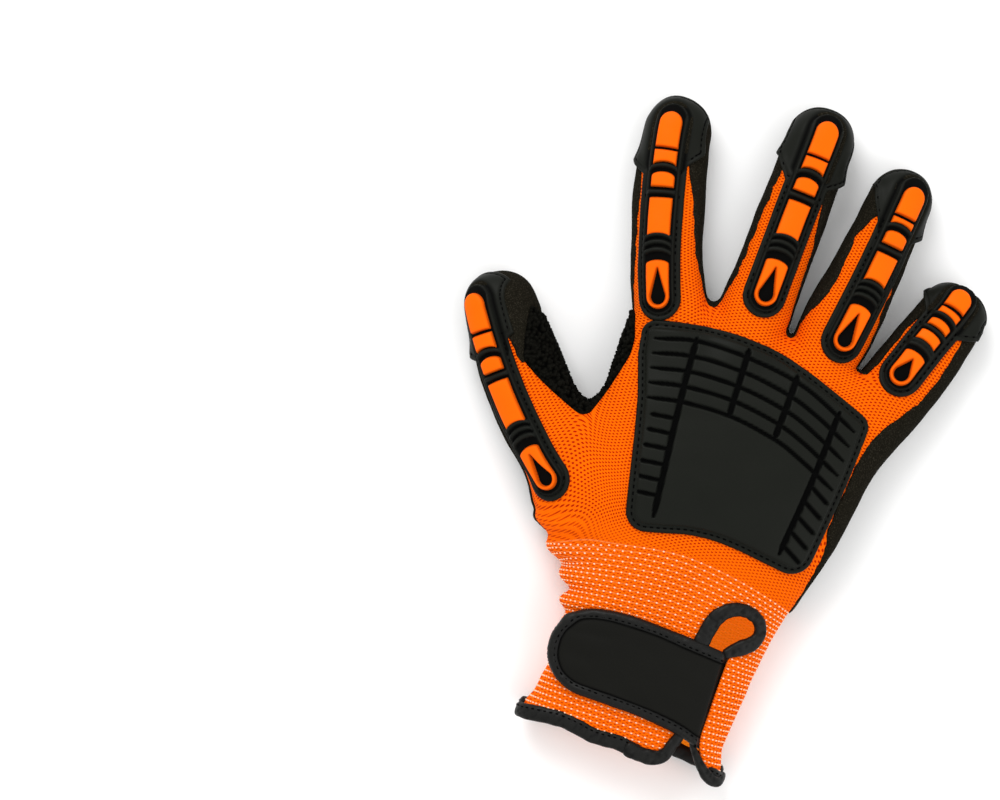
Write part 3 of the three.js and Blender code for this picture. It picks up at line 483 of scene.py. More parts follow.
def netted(field: Callable[[Array], Array], low: Array, high: Array, step: float) -> tuple[Array, Array]:
    """The surface where a field is zero, as a net of squares.

    Each cube that the surface crosses gets one point, the mean of the crossings on its edges, and
    each crossed edge joins the points of the four cubes round it.

    Args:
        field: gives a signed value at each point.
        low: the lowest corner of the space that is searched.
        high: its highest corner.
        step: the cubes' side.

    Returns:
        The points, and the triangles facing outwards.
    """
    counts = np.ceil((high - low) / step).astype(int) + 1
    axes = [low[k] + step * np.arange(counts[k]) for k in range(3)]
    side, up = np.meshgrid(axes[1], axes[2], indexing="ij")
    values = np.stack([field(np.stack([np.full_like(side, x), side, up], axis=-1)) for x in axes[0]])
    inside = values < 0
    cells = np.array(values.shape) - 1
    total, hits = np.zeros((*cells, 3)), np.zeros(cells)
    crossings = []
    for axis in range(3):
        first, last = [slice(None)] * 3, [slice(None)] * 3
        first[axis], last[axis] = slice(0, -1), slice(1, None)
        a, b = values[tuple(first)], values[tuple(last)]
        crossed = (a < 0) != (b < 0)
        share = np.where(crossed, a / np.where(crossed, a - b, 1.0), 0.0)
        crossings.append(crossed)
        others = [k for k in range(3) if k != axis]
        for one, two in itertools.product((0, 1), repeat=2):
            take = [slice(None)] * 3
            take[others[0]] = slice(one, one + cells[others[0]])
            take[others[1]] = slice(two, two + cells[others[1]])
            here = crossed[tuple(take)]
            hits += here
            total[..., axis] += share[tuple(take)] * here
            total[..., others[0]] += one * here
            total[..., others[1]] += two * here
    active = hits > 0
    index = np.full(cells, -1)
    index[active] = np.arange(active.sum())
    points = low + step * (np.argwhere(active) + total[active] / hits[active][:, None])
    squares = []
    for axis, crossed in enumerate(crossings):
        others = [k for k in range(3) if k != axis]
        take = [slice(None)] * 3
        take[others[0]] = slice(1, cells[others[0]])
        take[others[1]] = slice(1, cells[others[1]])
        spots = np.argwhere(crossed[tuple(take)])
        corner = []
        for one, two in ((0, 0), (1, 0), (1, 1), (0, 1)):
            move = np.zeros(3, int)
            move[others[0]], move[others[1]] = one, two
            corner.append(index[tuple((spots + move).T)])
        base = np.zeros(3, int)
        base[others] = 1
        leaving = inside[tuple((spots + base).T)] != (axis == 1)
        quad = np.stack(corner, axis=1)
        squares.append(np.where(leaving[:, None], quad, quad[:, ::-1]))
    quads = np.concatenate(squares)
    return points, np.concatenate([quads[:, [0, 1, 2]], quads[:, [0, 2, 3]]])


def compact(data: Array, triangles: Array) -> tuple[Array, Array]:
    """The same triangles without the rows of data that none of them uses."""
    used = np.unique(triangles)
    index = np.full(len(data), -1)
    index[used] = np.arange(len(used))
    return data[used], index[triangles]


def clipped(data: Array, triangles: Array, depth: Array) -> tuple[Array, Array]:
    """The part of a sheet where a depth is above zero, cut exactly along the zero line.

    A new corner lies on each crossed side, at the share depth_a / (depth_a - depth_b) along it.

    Args:
        data: a row of values for each corner, its place first.
        triangles: three corner numbers each.
        depth: a value for each corner.

    Returns:
        The data and the triangles that are left.
    """
    keep = depth > 0
    count = keep[triangles].sum(axis=1)

    def led_by(rows: Array, flag: Array) -> Array:
        """Each triangle turned so that its first flagged corner leads."""
        first = np.argmax(flag[rows], axis=1)
        return np.take_along_axis(rows, (first[:, None] + np.arange(3)) % 3, axis=1)

    one = led_by(triangles[count == 1], keep)
    two = led_by(triangles[count == 2], ~keep)
    sides = np.concatenate([one[:, [0, 1]], one[:, [0, 2]], two[:, [0, 1]], two[:, [0, 2]]])
    pairs, place = np.unique(np.sort(sides, axis=1), axis=0, return_inverse=True)
    a, b = pairs.T
    share = (depth[a] / (depth[a] - depth[b]))[:, None]
    ids = len(data) + place.reshape(-1)
    n, m = len(one), len(two)
    p, q, r, s = ids[:n], ids[n : 2 * n], ids[2 * n : 2 * n + m], ids[2 * n + m :]
    kept = [
        triangles[count == 3],
        np.stack([one[:, 0], p, q], axis=1),
        np.stack([r, two[:, 1], two[:, 2]], axis=1),
        np.stack([r, two[:, 2], s], axis=1),
    ]
    return compact(np.concatenate([data, data[a] + share * (data[b] - data[a])]), np.concatenate(kept))


def shell(upper: Array, lower: Array, triangles: Array) -> tuple[Array, Array]:
    """Closes a sheet with its other side: the same triangles turned over, and walls along open edges."""
    count = len(upper)
    sides = triangles[:, [0, 1, 1, 2, 2, 0]].reshape(-1, 2)
    codes = sides[:, 0] * count + sides[:, 1]
    a, b = sides[~np.isin(codes, sides[:, 1] * count + sides[:, 0])].T
    walls = np.concatenate([np.stack([b, a, a + count], 1), np.stack([b, a + count, b + count], 1)])
    return np.concatenate([upper, lower]), np.concatenate([triangles, triangles[:, ::-1] + count, walls])


def grid_faces(rows: int, columns: int, round_columns: bool = False) -> Array:
    """Triangles of a grid of points, rows along and columns across, facing up."""
    r = np.arange(rows - 1)[:, None]
    c = np.arange(columns if round_columns else columns - 1)[None, :]
    r2, c2 = r + 1, (c + 1) % columns
    a, b, d, e = (x.ravel() for x in (r * columns + c, r * columns + c2, r2 * columns + c2, r2 * columns + c))
    return np.concatenate([np.stack([a, b, d], 1), np.stack([a, d, e], 1)])


@dataclass
class Chart:
    """A grid of points on the glove's surface, with how far along and across each one is."""

    points: Array
    normals: Array
    along: Array
    across: Array
    bend: Array | float = 0.0

    def spread(self, height: float) -> Array:
        """How far across each point lies once it is raised off a bend: across * (1 + bend * height)."""
        return self.across * (1.0 + self.bend * height)

    def rows(self, keep: Array) -> "Chart":
        """The part of the chart that some of its rows make."""
        return Chart(self.points[keep], self.normals[keep], self.along[keep], self.across[keep],
                     self.bend[keep])

    def relief(self, depth: Array, height: Array, sink: Array | float,
               mask: Array | float = 0.0) -> tuple[Array, Array, dict[str, Array]]:
        """A closed body that stands on the chart where a depth is above zero.

        Args:
            depth: how deep each point lies inside the body's outline.
            height: the body's height over the surface.
            sink: how far its underside is sunk below the surface.
            mask: how much painted shade each point gets where it lies in a recess, from 0 to 1.

        Returns:
            The body's points and triangles, and its masks.
        """
        upper = self.points + self.normals * height[..., None]
        lower = self.points - self.normals * (sink + np.zeros_like(height))[..., None]
        # The mask carries painted shade, stored with each point.
        painted_shade = (mask + np.zeros_like(height))[..., None]
        data = np.concatenate([upper, lower, painted_shade], axis=-1).reshape(-1, 7)
        data, faces = clipped(data, grid_faces(*depth.shape), depth.ravel())
        return *shell(data[:, :3], data[:, 3:6], faces), {"painted_shade": np.tile(data[:, 6], 2)}


def plan_chart(form: GloveForm, low: tuple[float, float], high: tuple[float, float], step: float,
               squeeze: float = 1.0) -> Chart:
    """A chart over a plan rectangle, each point straight above its plan place.

    Args:
        form: the glove's form.
        low: the rectangle's lowest x and y.
        high: its highest x and y.
        step: the grid's step.
        squeeze: below 1, heights are read nearer the middle, so the chart spans the rounded sides.

    Returns:
        The chart.
    """
    x, y = np.meshgrid(np.arange(low[0], high[0] + step, step), np.arange(low[1], high[1] + step, step))
    centre = (form.left(y) + form.right(y)) / 2
    read = centre + (x - centre) * squeeze
    points = form.top(read, y)
    points[..., 0] = x
    over = np.gradient(points[..., 2], step)
    normals = unit(np.stack([-over[1], -over[0], np.ones_like(x)], axis=-1))
    return Chart(points, normals, y, x)


def tube(path: Array, wide: Array, high: Array, sideways: Array, up: Array, sides: int,
         power: float) -> tuple[Array, Array]:
    """A rounded section carried along a path: middle + sideways * a * cos^k + up * b * sin^k.

    Args:
        path: the middle line's points.
        wide: half the section's width at each point.
        high: half its height.
        sideways: the unit vector of its width.
        up: the unit vector of its height.
        sides: how many points go round it.
        power: 2 for an ellipse, more for a flatter section.

    Returns:
        The points and triangles, with domed ends.
    """
    angle = np.arange(sides) * 2 * math.pi / sides
    c = np.sign(np.cos(angle)) * np.abs(np.cos(angle)) ** (2 / power)
    s = np.sign(np.sin(angle)) * np.abs(np.sin(angle)) ** (2 / power)
    rings = (path[:, None] + sideways[:, None] * (wide[:, None] * c)[..., None]
             + up[:, None] * (high[:, None] * s)[..., None])
    rings = np.concatenate([domed(rings, path, 0, wide[0]), rings, domed(rings, path, -1, wide[-1])])
    points = np.concatenate([rings.reshape(-1, 3), [rings[0].mean(0), rings[-1].mean(0)]])
    start, end = len(points) - 2, len(points) - 1
    last = start - sides
    i = np.arange(sides)
    j = (i + 1) % sides
    caps = [np.stack([i * 0 + start, j, i], 1), np.stack([i * 0 + end, last + i, last + j], 1)]
    faces = np.concatenate([grid_faces(len(rings), sides, round_columns=True), *caps])
    flow = np.cross(sideways, up)
    ahead = np.gradient(path, axis=0)
    return points, faces if (flow * ahead).sum() > 0 else faces[:, ::-1]


def domed(rings: Array, path: Array, end: int, reach: float) -> Array:
    """Four smaller rings past an end of a tube, on a quarter circle."""
    away = unit(path[0] - path[1]) if end == 0 else unit(path[-1] - path[-2])
    angle = np.radians([25.0, 50.0, 70.0, 85.0])[:: -1 if end == 0 else 1]
    centre = path[end]
    return (centre + (rings[end] - centre)[None] * np.cos(angle)[:, None, None]
            + (away * min(reach, 1.6))[None, None] * np.sin(angle)[:, None, None])


# Finishes


class Slot(Enum):
    """The record's material slots."""

    KNIT = "knit"
    COATING = "coating"
    PATCH = "patch"
    GUARD = "guard"
    PAD = "pad"
    STRAP = "strap"
    TAPE = "tape"


@dataclass(frozen=True)
class Finish:
    """A surface's look.

    It has two colours, a roughness, the size of its grain in millimetres, the strength and height of
    its relief, how much it shines, how far painted shade darkens it in recesses, for a knit the pitch of
    its loops, and the strength of a painted glow, an emission though it is no lamp.
    """

    name: str
    colour: tuple[float, float, float]
    shade: tuple[float, float, float]
    roughness: float
    grain: float
    bump: float
    distance: float
    specular: float
    # How far painted shade darkens the colour where a piece's mask marks a recess.
    painted_shade: float = 0.85
    knitted: bool = False
    pitch: tuple[float, float] = (1.46, 1.24)
    # Strength of a painted glow: emission that paints light onto the surface, which is no lamp.
    painted_glow: float = 0.0


class Graph:
    """Adds and joins the nodes of one node tree."""

    def __init__(self, tree: bpy.types.NodeTree) -> None:
        """Keeps the tree."""
        self.tree = tree

    def add(self, kind: str, inputs: dict | None = None, **settings: object) -> bpy.types.Node:
        """Adds a node.

        Args:
            kind: the node's type.
            inputs: what each input is: a value, or an output socket to join to it.
            settings: the node's own settings.

        Returns:
            The node.
        """
        node = self.tree.nodes.new(kind)
        for key, value in settings.items():
            setattr(node, key, value)
        for key, value in (inputs or {}).items():
            if isinstance(value, bpy.types.NodeSocket):
                self.tree.links.new(value, node.inputs[key])
            else:
                node.inputs[key].default_value = value
        return node

    def maths(self, operation: str, a: object, b: object = 0.0) -> bpy.types.NodeSocket:
        """One sum of two values, as an output socket."""
        return self.add("ShaderNodeMath", {0: a, 1: b}, operation=operation).outputs[0]


def knit_group() -> bpy.types.NodeTree:
    """A node group for plain knit: columns of loops with a gap in each, and the cuff's thread lines.

    With u and v the places over the pitches, each second column moved by half a row, and (f, g) the
    place from a loop's middle, the gap is 1 where (0.8 f)^2 + (1.15 g)^2 is least, the height is
    1 - gap with a V-shaped wave cos(2 pi (g - 1.3 |f|)), and a thread lies at each whole cuff row.
    """
    group = bpy.data.node_groups.new("knit loops", "ShaderNodeTree")
    group.interface.new_socket("Vector", in_out="INPUT", socket_type="NodeSocketVector")
    for name in ("Column", "Row"):
        group.interface.new_socket(name, in_out="INPUT", socket_type="NodeSocketFloat")
    for name in ("Height", "Gap", "Thread"):
        group.interface.new_socket(name, in_out="OUTPUT", socket_type="NodeSocketFloat")
    graph = Graph(group)
    given = graph.add("NodeGroupInput").outputs
    place = graph.add("ShaderNodeSeparateXYZ", {0: given["Vector"]}).outputs
    u = graph.maths("DIVIDE", place[0], given["Column"])
    odd = graph.maths("MULTIPLY", graph.maths("FLOORED_MODULO", graph.maths("FLOOR", u), 2.0), 0.5)
    v = graph.maths("ADD", graph.maths("DIVIDE", place[1], given["Row"]), odd)
    off_u = graph.maths("SUBTRACT", graph.maths("FRACT", u), 0.5)
    off_v = graph.maths("SUBTRACT", graph.maths("FRACT", v), 0.5)
    wide = graph.maths("POWER", graph.maths("MULTIPLY", off_u, 0.8), 2.0)
    square = graph.maths("ADD", wide, graph.maths("POWER", graph.maths("MULTIPLY", off_v, 1.15), 2.0))
    gap = graph.add("ShaderNodeMapRange", {"Value": square, "From Min": 0.12, "From Max": 0.015},
                    interpolation_type="SMOOTHSTEP").outputs[0]
    slant = graph.maths("SUBTRACT", off_v, graph.maths("MULTIPLY", graph.maths("ABSOLUTE", off_u), 1.3))
    wave = graph.maths("MULTIPLY", graph.maths("COSINE", graph.maths("MULTIPLY", slant, 2 * math.pi)), 0.3)
    height = graph.maths("ADD", graph.maths("SUBTRACT", 0.7, gap), wave)
    row = graph.maths("DIVIDE", graph.maths("SUBTRACT", CUFF.first, place[1]), CUFF.row_gap)
    near = graph.maths("SUBTRACT", graph.maths("FRACT", graph.maths("ADD", row, 0.5)), 0.5)
    near = graph.maths("ABSOLUTE", near)
    line = graph.add("ShaderNodeMapRange", {"Value": near, "From Min": 0.13, "From Max": 0.04}).outputs[0]
    below = graph.maths("GREATER_THAN", row, -0.3)
    thread = graph.maths("MULTIPLY", line, below)
    graph.add("NodeGroupOutput", {"Height": height, "Gap": gap, "Thread": thread})
    return group


def grain_and_painted_shade_group() -> bpy.types.NodeTree:
    """A node group for every finish's unevenness and painted shade: fine grain, specks, a slow drift, and
    painted shade that darkens recesses.

    The height is noise at the grain's scale and a speck lies where finer noise is high. The shade is
    the drift, from 0.88 to 1.08, times 1 - strength * the mask of painted shade, which darkens grooves,
    seams and folds; the roughness is its own value moved a little by the drift and raised in a recess.
    """
    group = bpy.data.node_groups.new("fine grain and painted shade", "ShaderNodeTree")
    group.interface.new_socket("Vector", in_out="INPUT", socket_type="NodeSocketVector")
    for name in ("Grain", "Painted shade", "Roughness"):
        group.interface.new_socket(name, in_out="INPUT", socket_type="NodeSocketFloat")
    for name in ("Height", "Speck", "Shade", "Roughness"):
        group.interface.new_socket(name, in_out="OUTPUT", socket_type="NodeSocketFloat")
    graph = Graph(group)
    given = graph.add("NodeGroupInput").outputs
    per_metre = graph.maths("DIVIDE", 1000.0, given["Grain"])
    coarse = graph.add("ShaderNodeTexNoise", {"Vector": given["Vector"], "Scale": per_metre, "Detail": 3.0})
    finer = graph.maths("MULTIPLY", per_metre, 1.7)
    fine = graph.add("ShaderNodeTexNoise", {"Vector": given["Vector"], "Scale": finer, "Detail": 1.0})
    broad = graph.add("ShaderNodeTexNoise", {"Vector": given["Vector"], "Scale": 60.0, "Detail": 3.0})
    broad = broad.outputs["Fac"]
    speck = graph.add("ShaderNodeMapRange", {"Value": fine.outputs["Fac"], "From Min": 0.56, "From Max": 0.7})
    # This attribute is painted shade: it darkens the colour in grooves, seams, folds and other recesses.
    painted_shade = graph.add("ShaderNodeAttribute", attribute_name="painted_shade").outputs["Fac"]
    lit = graph.maths("SUBTRACT", 1.0, graph.maths("MULTIPLY", painted_shade, given["Painted shade"]))
    drift = graph.add("ShaderNodeMapRange", {"Value": broad, "To Min": 0.88, "To Max": 1.08}).outputs[0]
    moved = graph.add("ShaderNodeMapRange", {"Value": broad, "To Min": -0.05, "To Max": 0.08}).outputs[0]
    rough = graph.maths("ADD", graph.maths("ADD", given["Roughness"], moved),
                        graph.maths("MULTIPLY", painted_shade, 0.45))
    graph.add("NodeGroupOutput", {
        "Height": coarse.outputs["Fac"], "Speck": speck.outputs[0],
        "Shade": graph.maths("MULTIPLY", drift, lit), "Roughness": graph.maths("MINIMUM", rough, 1.0),
    })
    return group


class Paintbox:
    """Makes each finish's material once."""

    def __init__(self) -> None:
        """Makes the shared node groups."""
        self.knit = knit_group()
        self.grain = grain_and_painted_shade_group()
        self.made: dict[str, bpy.types.Material] = {}

    def material(self, finish: Finish) -> bpy.types.Material:
        """The material of a finish.

        The grain's specks and drift mix the two colours, and the grain, or the knit's loops, give
        the relief; the mask of painted shade darkens the colour in recesses and a painted glow is added as
        emission. A knitted finish reads the piece's weave map, the others Object coordinates.
        """
        if finish.name in self.made:
            return self.made[finish.name]
        material = bpy.data.materials.new(finish.name)
        material.use_nodes = True
        tree = material.node_tree
        tree.nodes.clear()
        graph = Graph(tree)
        spot = graph.add("ShaderNodeTexCoord").outputs["Object"]
        grain = graph.add("ShaderNodeGroup", node_tree=self.grain)
        tree.links.new(spot, grain.inputs["Vector"])
        for key, value in (("Grain", finish.grain), ("Painted shade", finish.painted_shade),
                           ("Roughness", finish.roughness)):
            grain.inputs[key].default_value = value
        mask, height = grain.outputs["Speck"], grain.outputs["Height"]
        thread = None
        if finish.knitted:
            weave = graph.add("ShaderNodeUVMap", uv_map="weave").outputs[0]
            scaled = graph.add("ShaderNodeVectorMath", {0: weave, "Scale": WEAVE_UNIT}, operation="SCALE")
            knit = graph.add("ShaderNodeGroup", node_tree=self.knit)
            tree.links.new(scaled.outputs[0], knit.inputs["Vector"])
            knit.inputs["Column"].default_value, knit.inputs["Row"].default_value = finish.pitch
            opened = graph.add("ShaderNodeAttribute", attribute_name="open").outputs["Fac"]
            mask = graph.maths("MULTIPLY", knit.outputs["Gap"], opened)
            thread = knit.outputs["Thread"]
            height = graph.maths("ADD", knit.outputs["Height"], graph.maths("MULTIPLY", height, 0.25))
        tint = graph.add("ShaderNodeMix",
                         {"Factor": mask, "A": (*finish.colour, 1.0), "B": (*finish.shade, 1.0)},
                         data_type="RGBA").outputs["Result"]
        if thread is not None:
            pale = graph.maths("MULTIPLY", thread, 0.3)
            tint = graph.add("ShaderNodeMix", {"Factor": pale, "A": tint, "B": (1.0, 0.42, 0.16, 1.0)},
                             data_type="RGBA").outputs["Result"]
        colour = graph.add("ShaderNodeVectorMath", {0: tint, "Scale": grain.outputs["Shade"]},
                           operation="SCALE").outputs[0]
        bump = graph.add("ShaderNodeBump", {"Height": height, "Strength": finish.bump,
                                            "Distance": finish.distance * MILLIMETRE})
        # Emission Strength carries a finish's painted glow: light painted onto a surface that is no lamp.
        surface = graph.add("ShaderNodeBsdfPrincipled", {
            "Base Color": colour, "Roughness": grain.outputs["Roughness"], "Normal": bump.outputs[0],
            "Specular IOR Level": finish.specular, "Emission Color": (*finish.colour, 1.0),
            "Emission Strength": finish.painted_glow,
        })
        graph.add("ShaderNodeOutputMaterial", {"Surface": surface.outputs[0]})
        self.made[finish.name] = material
        return material


KNIT_FINISH = Finish("orange knit", colour=(0.96, 0.132, 0.0004), shade=(0.4, 0.008, 0.0),
    roughness=0.85, grain=0.5, bump=0.75, distance=0.3, specular=0.03, knitted=True)
# The inside of the knit has a painted glow: emission that brightens the shadowed inner surface seen in the
# openings.
INSIDE_FINISH = Finish("knit inside with painted glow", colour=(0.84, 0.26, 0.01), shade=(0.55, 0.1, 0.003),
    roughness=0.9, grain=0.5, bump=0.5, distance=0.3, specular=0.03, knitted=True, painted_glow=0.3)
COAT_FINISH = Finish("sandy nitrile", colour=(0.0077, 0.0067, 0.0043), shade=(0.034, 0.03, 0.021),
    roughness=0.9, grain=0.6, bump=0.9, distance=0.25, specular=0.02)
PATCH_FINISH = Finish("pebbled patch", colour=(0.0042, 0.0041, 0.003), shade=(0.016, 0.0155, 0.012),
    roughness=0.8, grain=0.3, bump=0.8, distance=0.15, specular=0.025, painted_shade=0.97)
RUBBER_FINISH = Finish("black rubber", colour=(0.0068, 0.0076, 0.0056), shade=(0.0092, 0.0102, 0.0074),
    roughness=0.46, grain=0.28, bump=0.2, distance=0.04, specular=0.08, painted_shade=0.98)
PAD_FINISH = Finish("orange rubber", colour=(0.98, 0.13, 0.0003), shade=(0.94, 0.11, 0.0002),
    roughness=0.45, grain=0.35, bump=0.12, distance=0.03, specular=0.05, painted_shade=0.5)
FACE_FINISH = Finish("strap face", colour=(0.0056, 0.0056, 0.0044), shade=(0.0082, 0.0082, 0.0066),
    roughness=0.5, grain=0.22, bump=0.25, distance=0.04, specular=0.07, painted_shade=0.98)
TAPE_FINISH = Finish("edge tape", colour=(0.0034, 0.0034, 0.0028), shade=(0.009, 0.009, 0.0075),
    roughness=0.42, grain=0.3, bump=0.5, distance=0.1, specular=0.18, painted_shade=0.97)
THREAD_FINISH = Finish("white thread", colour=(1.0, 0.64, 0.44), shade=(0.95, 0.48, 0.28),
    roughness=0.8, grain=0.3, bump=0.3, distance=0.05, specular=0.1)
DARK_THREAD_FINISH = Finish("black thread", colour=(0.0006, 0.0006, 0.0006), shade=(0.002, 0.002, 0.002),
    roughness=0.7, grain=0.3, bump=0.4, distance=0.06, specular=0.03)


def make_piece(name: str, points: Array, faces: Array, finish: Finish, slot: Slot,
               replaces: Sequence[str] = (),
               weave: Array | None = None, masks: dict[str, Array] | None = None) -> Piece:
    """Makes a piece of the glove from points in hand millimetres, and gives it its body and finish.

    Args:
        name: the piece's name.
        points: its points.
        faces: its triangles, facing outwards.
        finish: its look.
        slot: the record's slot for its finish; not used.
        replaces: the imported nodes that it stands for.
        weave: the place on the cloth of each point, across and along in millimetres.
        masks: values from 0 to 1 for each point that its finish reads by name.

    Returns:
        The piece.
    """
    mesh = bpy.data.meshes.new(name)
    mesh.vertices.add(len(points))
    mesh.vertices.foreach_set("co", placed(points).astype(np.float32).ravel())
    mesh.loops.add(faces.size)
    mesh.loops.foreach_set("vertex_index", faces.astype(np.int32).ravel())
    mesh.polygons.add(len(faces))
    mesh.polygons.foreach_set("loop_start", np.arange(0, faces.size, 3, dtype=np.int32))
    mesh.update(calc_edges=True)
    mesh.validate()
    mesh.shade_smooth()
    if weave is not None:
        layer = mesh.uv_layers.new(name="weave")
        order = np.zeros(len(mesh.loops), np.int32)
        mesh.loops.foreach_get("vertex_index", order)
        layer.data.foreach_set("uv", (weave[order] / WEAVE_UNIT).astype(np.float32).ravel())
    for key, values in (masks or {}).items():
        mesh.attributes.new(key, "FLOAT", "POINT").data.foreach_set("value", values.astype(np.float32))
    mesh.materials.append(PAINTBOX.material(finish))
    piece = bpy.data.objects.new(name, mesh)
    bpy.context.scene.collection.objects.link(piece)
    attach(piece, "root")
    if replaces:
        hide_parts(*replaces)
    log.info("%s: %d triangles", name, len(faces))
    return piece


# Knit, coating and patch


# Plan lines: the slit's two sides and its keyhole, as an outline from below the hem.
SLIT = (
    (11, -150), (11.5, -124), (15, -112), (16.2, -95), (16, -81), (15.4, -74),
    (17.6, -67), (23, -63.6), (29.5, -64.6), (33, -69.5), (32, -75), (28.4, -78.6),
    (25.2, -81.5), (24.4, -90), (23.9, -104), (23.8, -116), (27.5, -125.5), (31.5, -150),
)
# The hem's line: x and y on the upper side, and on the lower side.
HEM_TOP = (
    (-60, -124.4), (-44, -125.4), (-38, -124.4), (-32, -123.8), (-25, -124.8), (-19, -126.2),
    (-12, -126.1), (-7, -125.8), (0, -127.1), (6, -126.9), (10, -126.4), (22, -124.5),
    (29, -127.6), (34, -129.2), (45, -128.6),
)
HEM_LOW = (
    (-60, -123.6), (-48, -123.4), (-30, -122.6), (-8, -122.4), (14, -122.6), (28, -124.6),
    (36, -127.6), (45, -128.6),
)
# Where the coating ends on each finger's two sides, from the root to the tip: the share of the
# length, and the shares of the half width on the left and on the right.
COAT_SIDES = {
    "thumb": (
        (0, -1.2, 0.98), (0.3, -1.2, 0.95), (0.37, -1.2, 0.84), (0.46, -1.2, 0.64), (0.54, -1.2, 0.44),
        (0.6, -1.2, 0.16), (0.64, -1.2, 0.03), (0.7, -1.2, -0.02), (0.78, -1.2, -0.08), (1, -1.2, -0.2),
    ),
    "index": (
        (0, -1.2, 1.2), (0.18, -1.1, 1.04), (0.23, -1, 0.97), (0.36, -0.96, 0.87), (0.465, -0.9, 0.8),
        (0.59, -0.86, 0.69), (0.67, -0.87, 0.58), (0.745, -0.94, 0.46), (0.8, -0.6, 0.2), (1, -0.3, 0.2),
    ),
    "middle": (
        (0, -1.2, 1.2), (0.2, -1.1, 1.1), (0.26, -1, 1), (0.33, -0.92, 0.99), (0.43, -0.9, 0.97),
        (0.52, -0.89, 0.95), (0.56, -0.88, 0.86), (0.64, -0.86, 0.77), (0.71, -0.84, 0.66),
        (0.75, -0.82, 0.5), (0.8, -0.6, 0.4), (1, -0.5, 0.3),
    ),
    "ring": (
        (0, -1.2, 1.2), (0.2, -1.1, 1.1), (0.27, -1, 1), (0.36, -0.8, 0.99), (0.43, -0.72, 0.88),
        (0.48, -0.69, 0.9), (0.53, -0.72, 0.99), (0.56, -0.79, 0.84), (0.61, -0.72, 0.78),
        (0.67, -0.86, 0.74), (0.72, -0.72, 0.66), (0.77, -0.6, 0.5), (0.82, -0.3, 0.3), (1, -0.3, 0.3),
    ),
    "little": (
        (0, -1.2, 0.2), (0.18, -1.1, 0.36), (0.3, -0.94, 0.5), (0.4, -0.87, 0.66), (0.51, -0.85, 0.72),
        (0.6, -0.84, 0.71), (0.66, -0.86, 0.69), (0.78, -0.78, 0.66), (0.82, -0.5, 0.4), (1, -0.4, 0.3),
    ),
}
# Where the palm's cloth and each finger's agree, in plan.
ANCHORS = {"thumb": (-62, -22), "index": (-36, 42), "middle": (-4, 44), "ring": (27, 42),
           "little": (54, 27)}
# The x where the coating begins on the little finger's side of the palm, by y.
COAT_ULNAR = (
    (-140, 60), (-62, 46), (-58, 43), (-52, 44.6), (-38, 47.6), (-31, 48.4),
    (-24, 46.8), (-14, 47.6), (-9, 48.4), (3, 50.6), (12, 52.8), (18, 55), (26, 60.6),
    (32, 65.6), (42, 70),
)
# The coating's near edge on the palm side, x and y.
COAT_HEM = (
    (-75, -50), (-60, -54), (-48, -58), (-36, -66.5), (-22, -74.5), (-6, -78.5),
    (10, -77), (24, -71), (36, -62.5), (46, -57), (60, -54),
)
# The patch in the thumb's crotch: its outline seen from above, on the back and on the palm.
PATCH_BACK = (
    (-88, 26, 1), (-86.4, 13, 2), (-84, 4.5, 2), (-77, 0, 2), (-70, -3.6, 2),
    (-62, -7.2, 2), (-57, -9.2, 2), (-53.6, -7.4, 1.5), (-51.4, -2, 2), (-49, 5, 2),
    (-47, 12, 2), (-45.2, 19, 2), (-45.4, 26, 2), (-47.4, 31.5, 2), (-50.6, 37, 1.5),
    (-58, 37, 1), (-62, 16, 1),
)
PATCH_PALM = (
    (-84, 26, 1), (-79, 15, 2), (-70, 7, 2), (-61, -1.5, 2), (-54.5, -8, 3),
    (-46, -3, 3), (-40, 6, 4), (-38.5, 17, 4), (-41, 28, 4), (-47, 36, 3),
    (-58, 37, 1), (-62, 16, 1),
)


def patch_depths(x: Array, y: Array) -> tuple[Array, Array]:
    """How deep plan places lie inside the patch's outlines on the back and on the palm."""
    return depth_inside(x, y, rounded(PATCH_BACK)), depth_inside(x, y, rounded(PATCH_PALM))


def slit_outline() -> Array:
    """The slit and keyhole in plan."""
    return curve(SLIT, 1.0)


def edge_lift(points: Array) -> Array:
    """How far the knit rides up over the strap's right end: 1.5 * exp(-((x - 24) / 6)^2) beside the slit."""
    x, y, z = points.T
    beside = np.where((x > 23.0) & (z > 12.0), np.exp(-(((x - 24.0) / 6.0) ** 2)), 0.0)
    return 1.5 * beside * eased((-79.0 - y) / 4.0) * eased((y + 124.0) / 7.0)


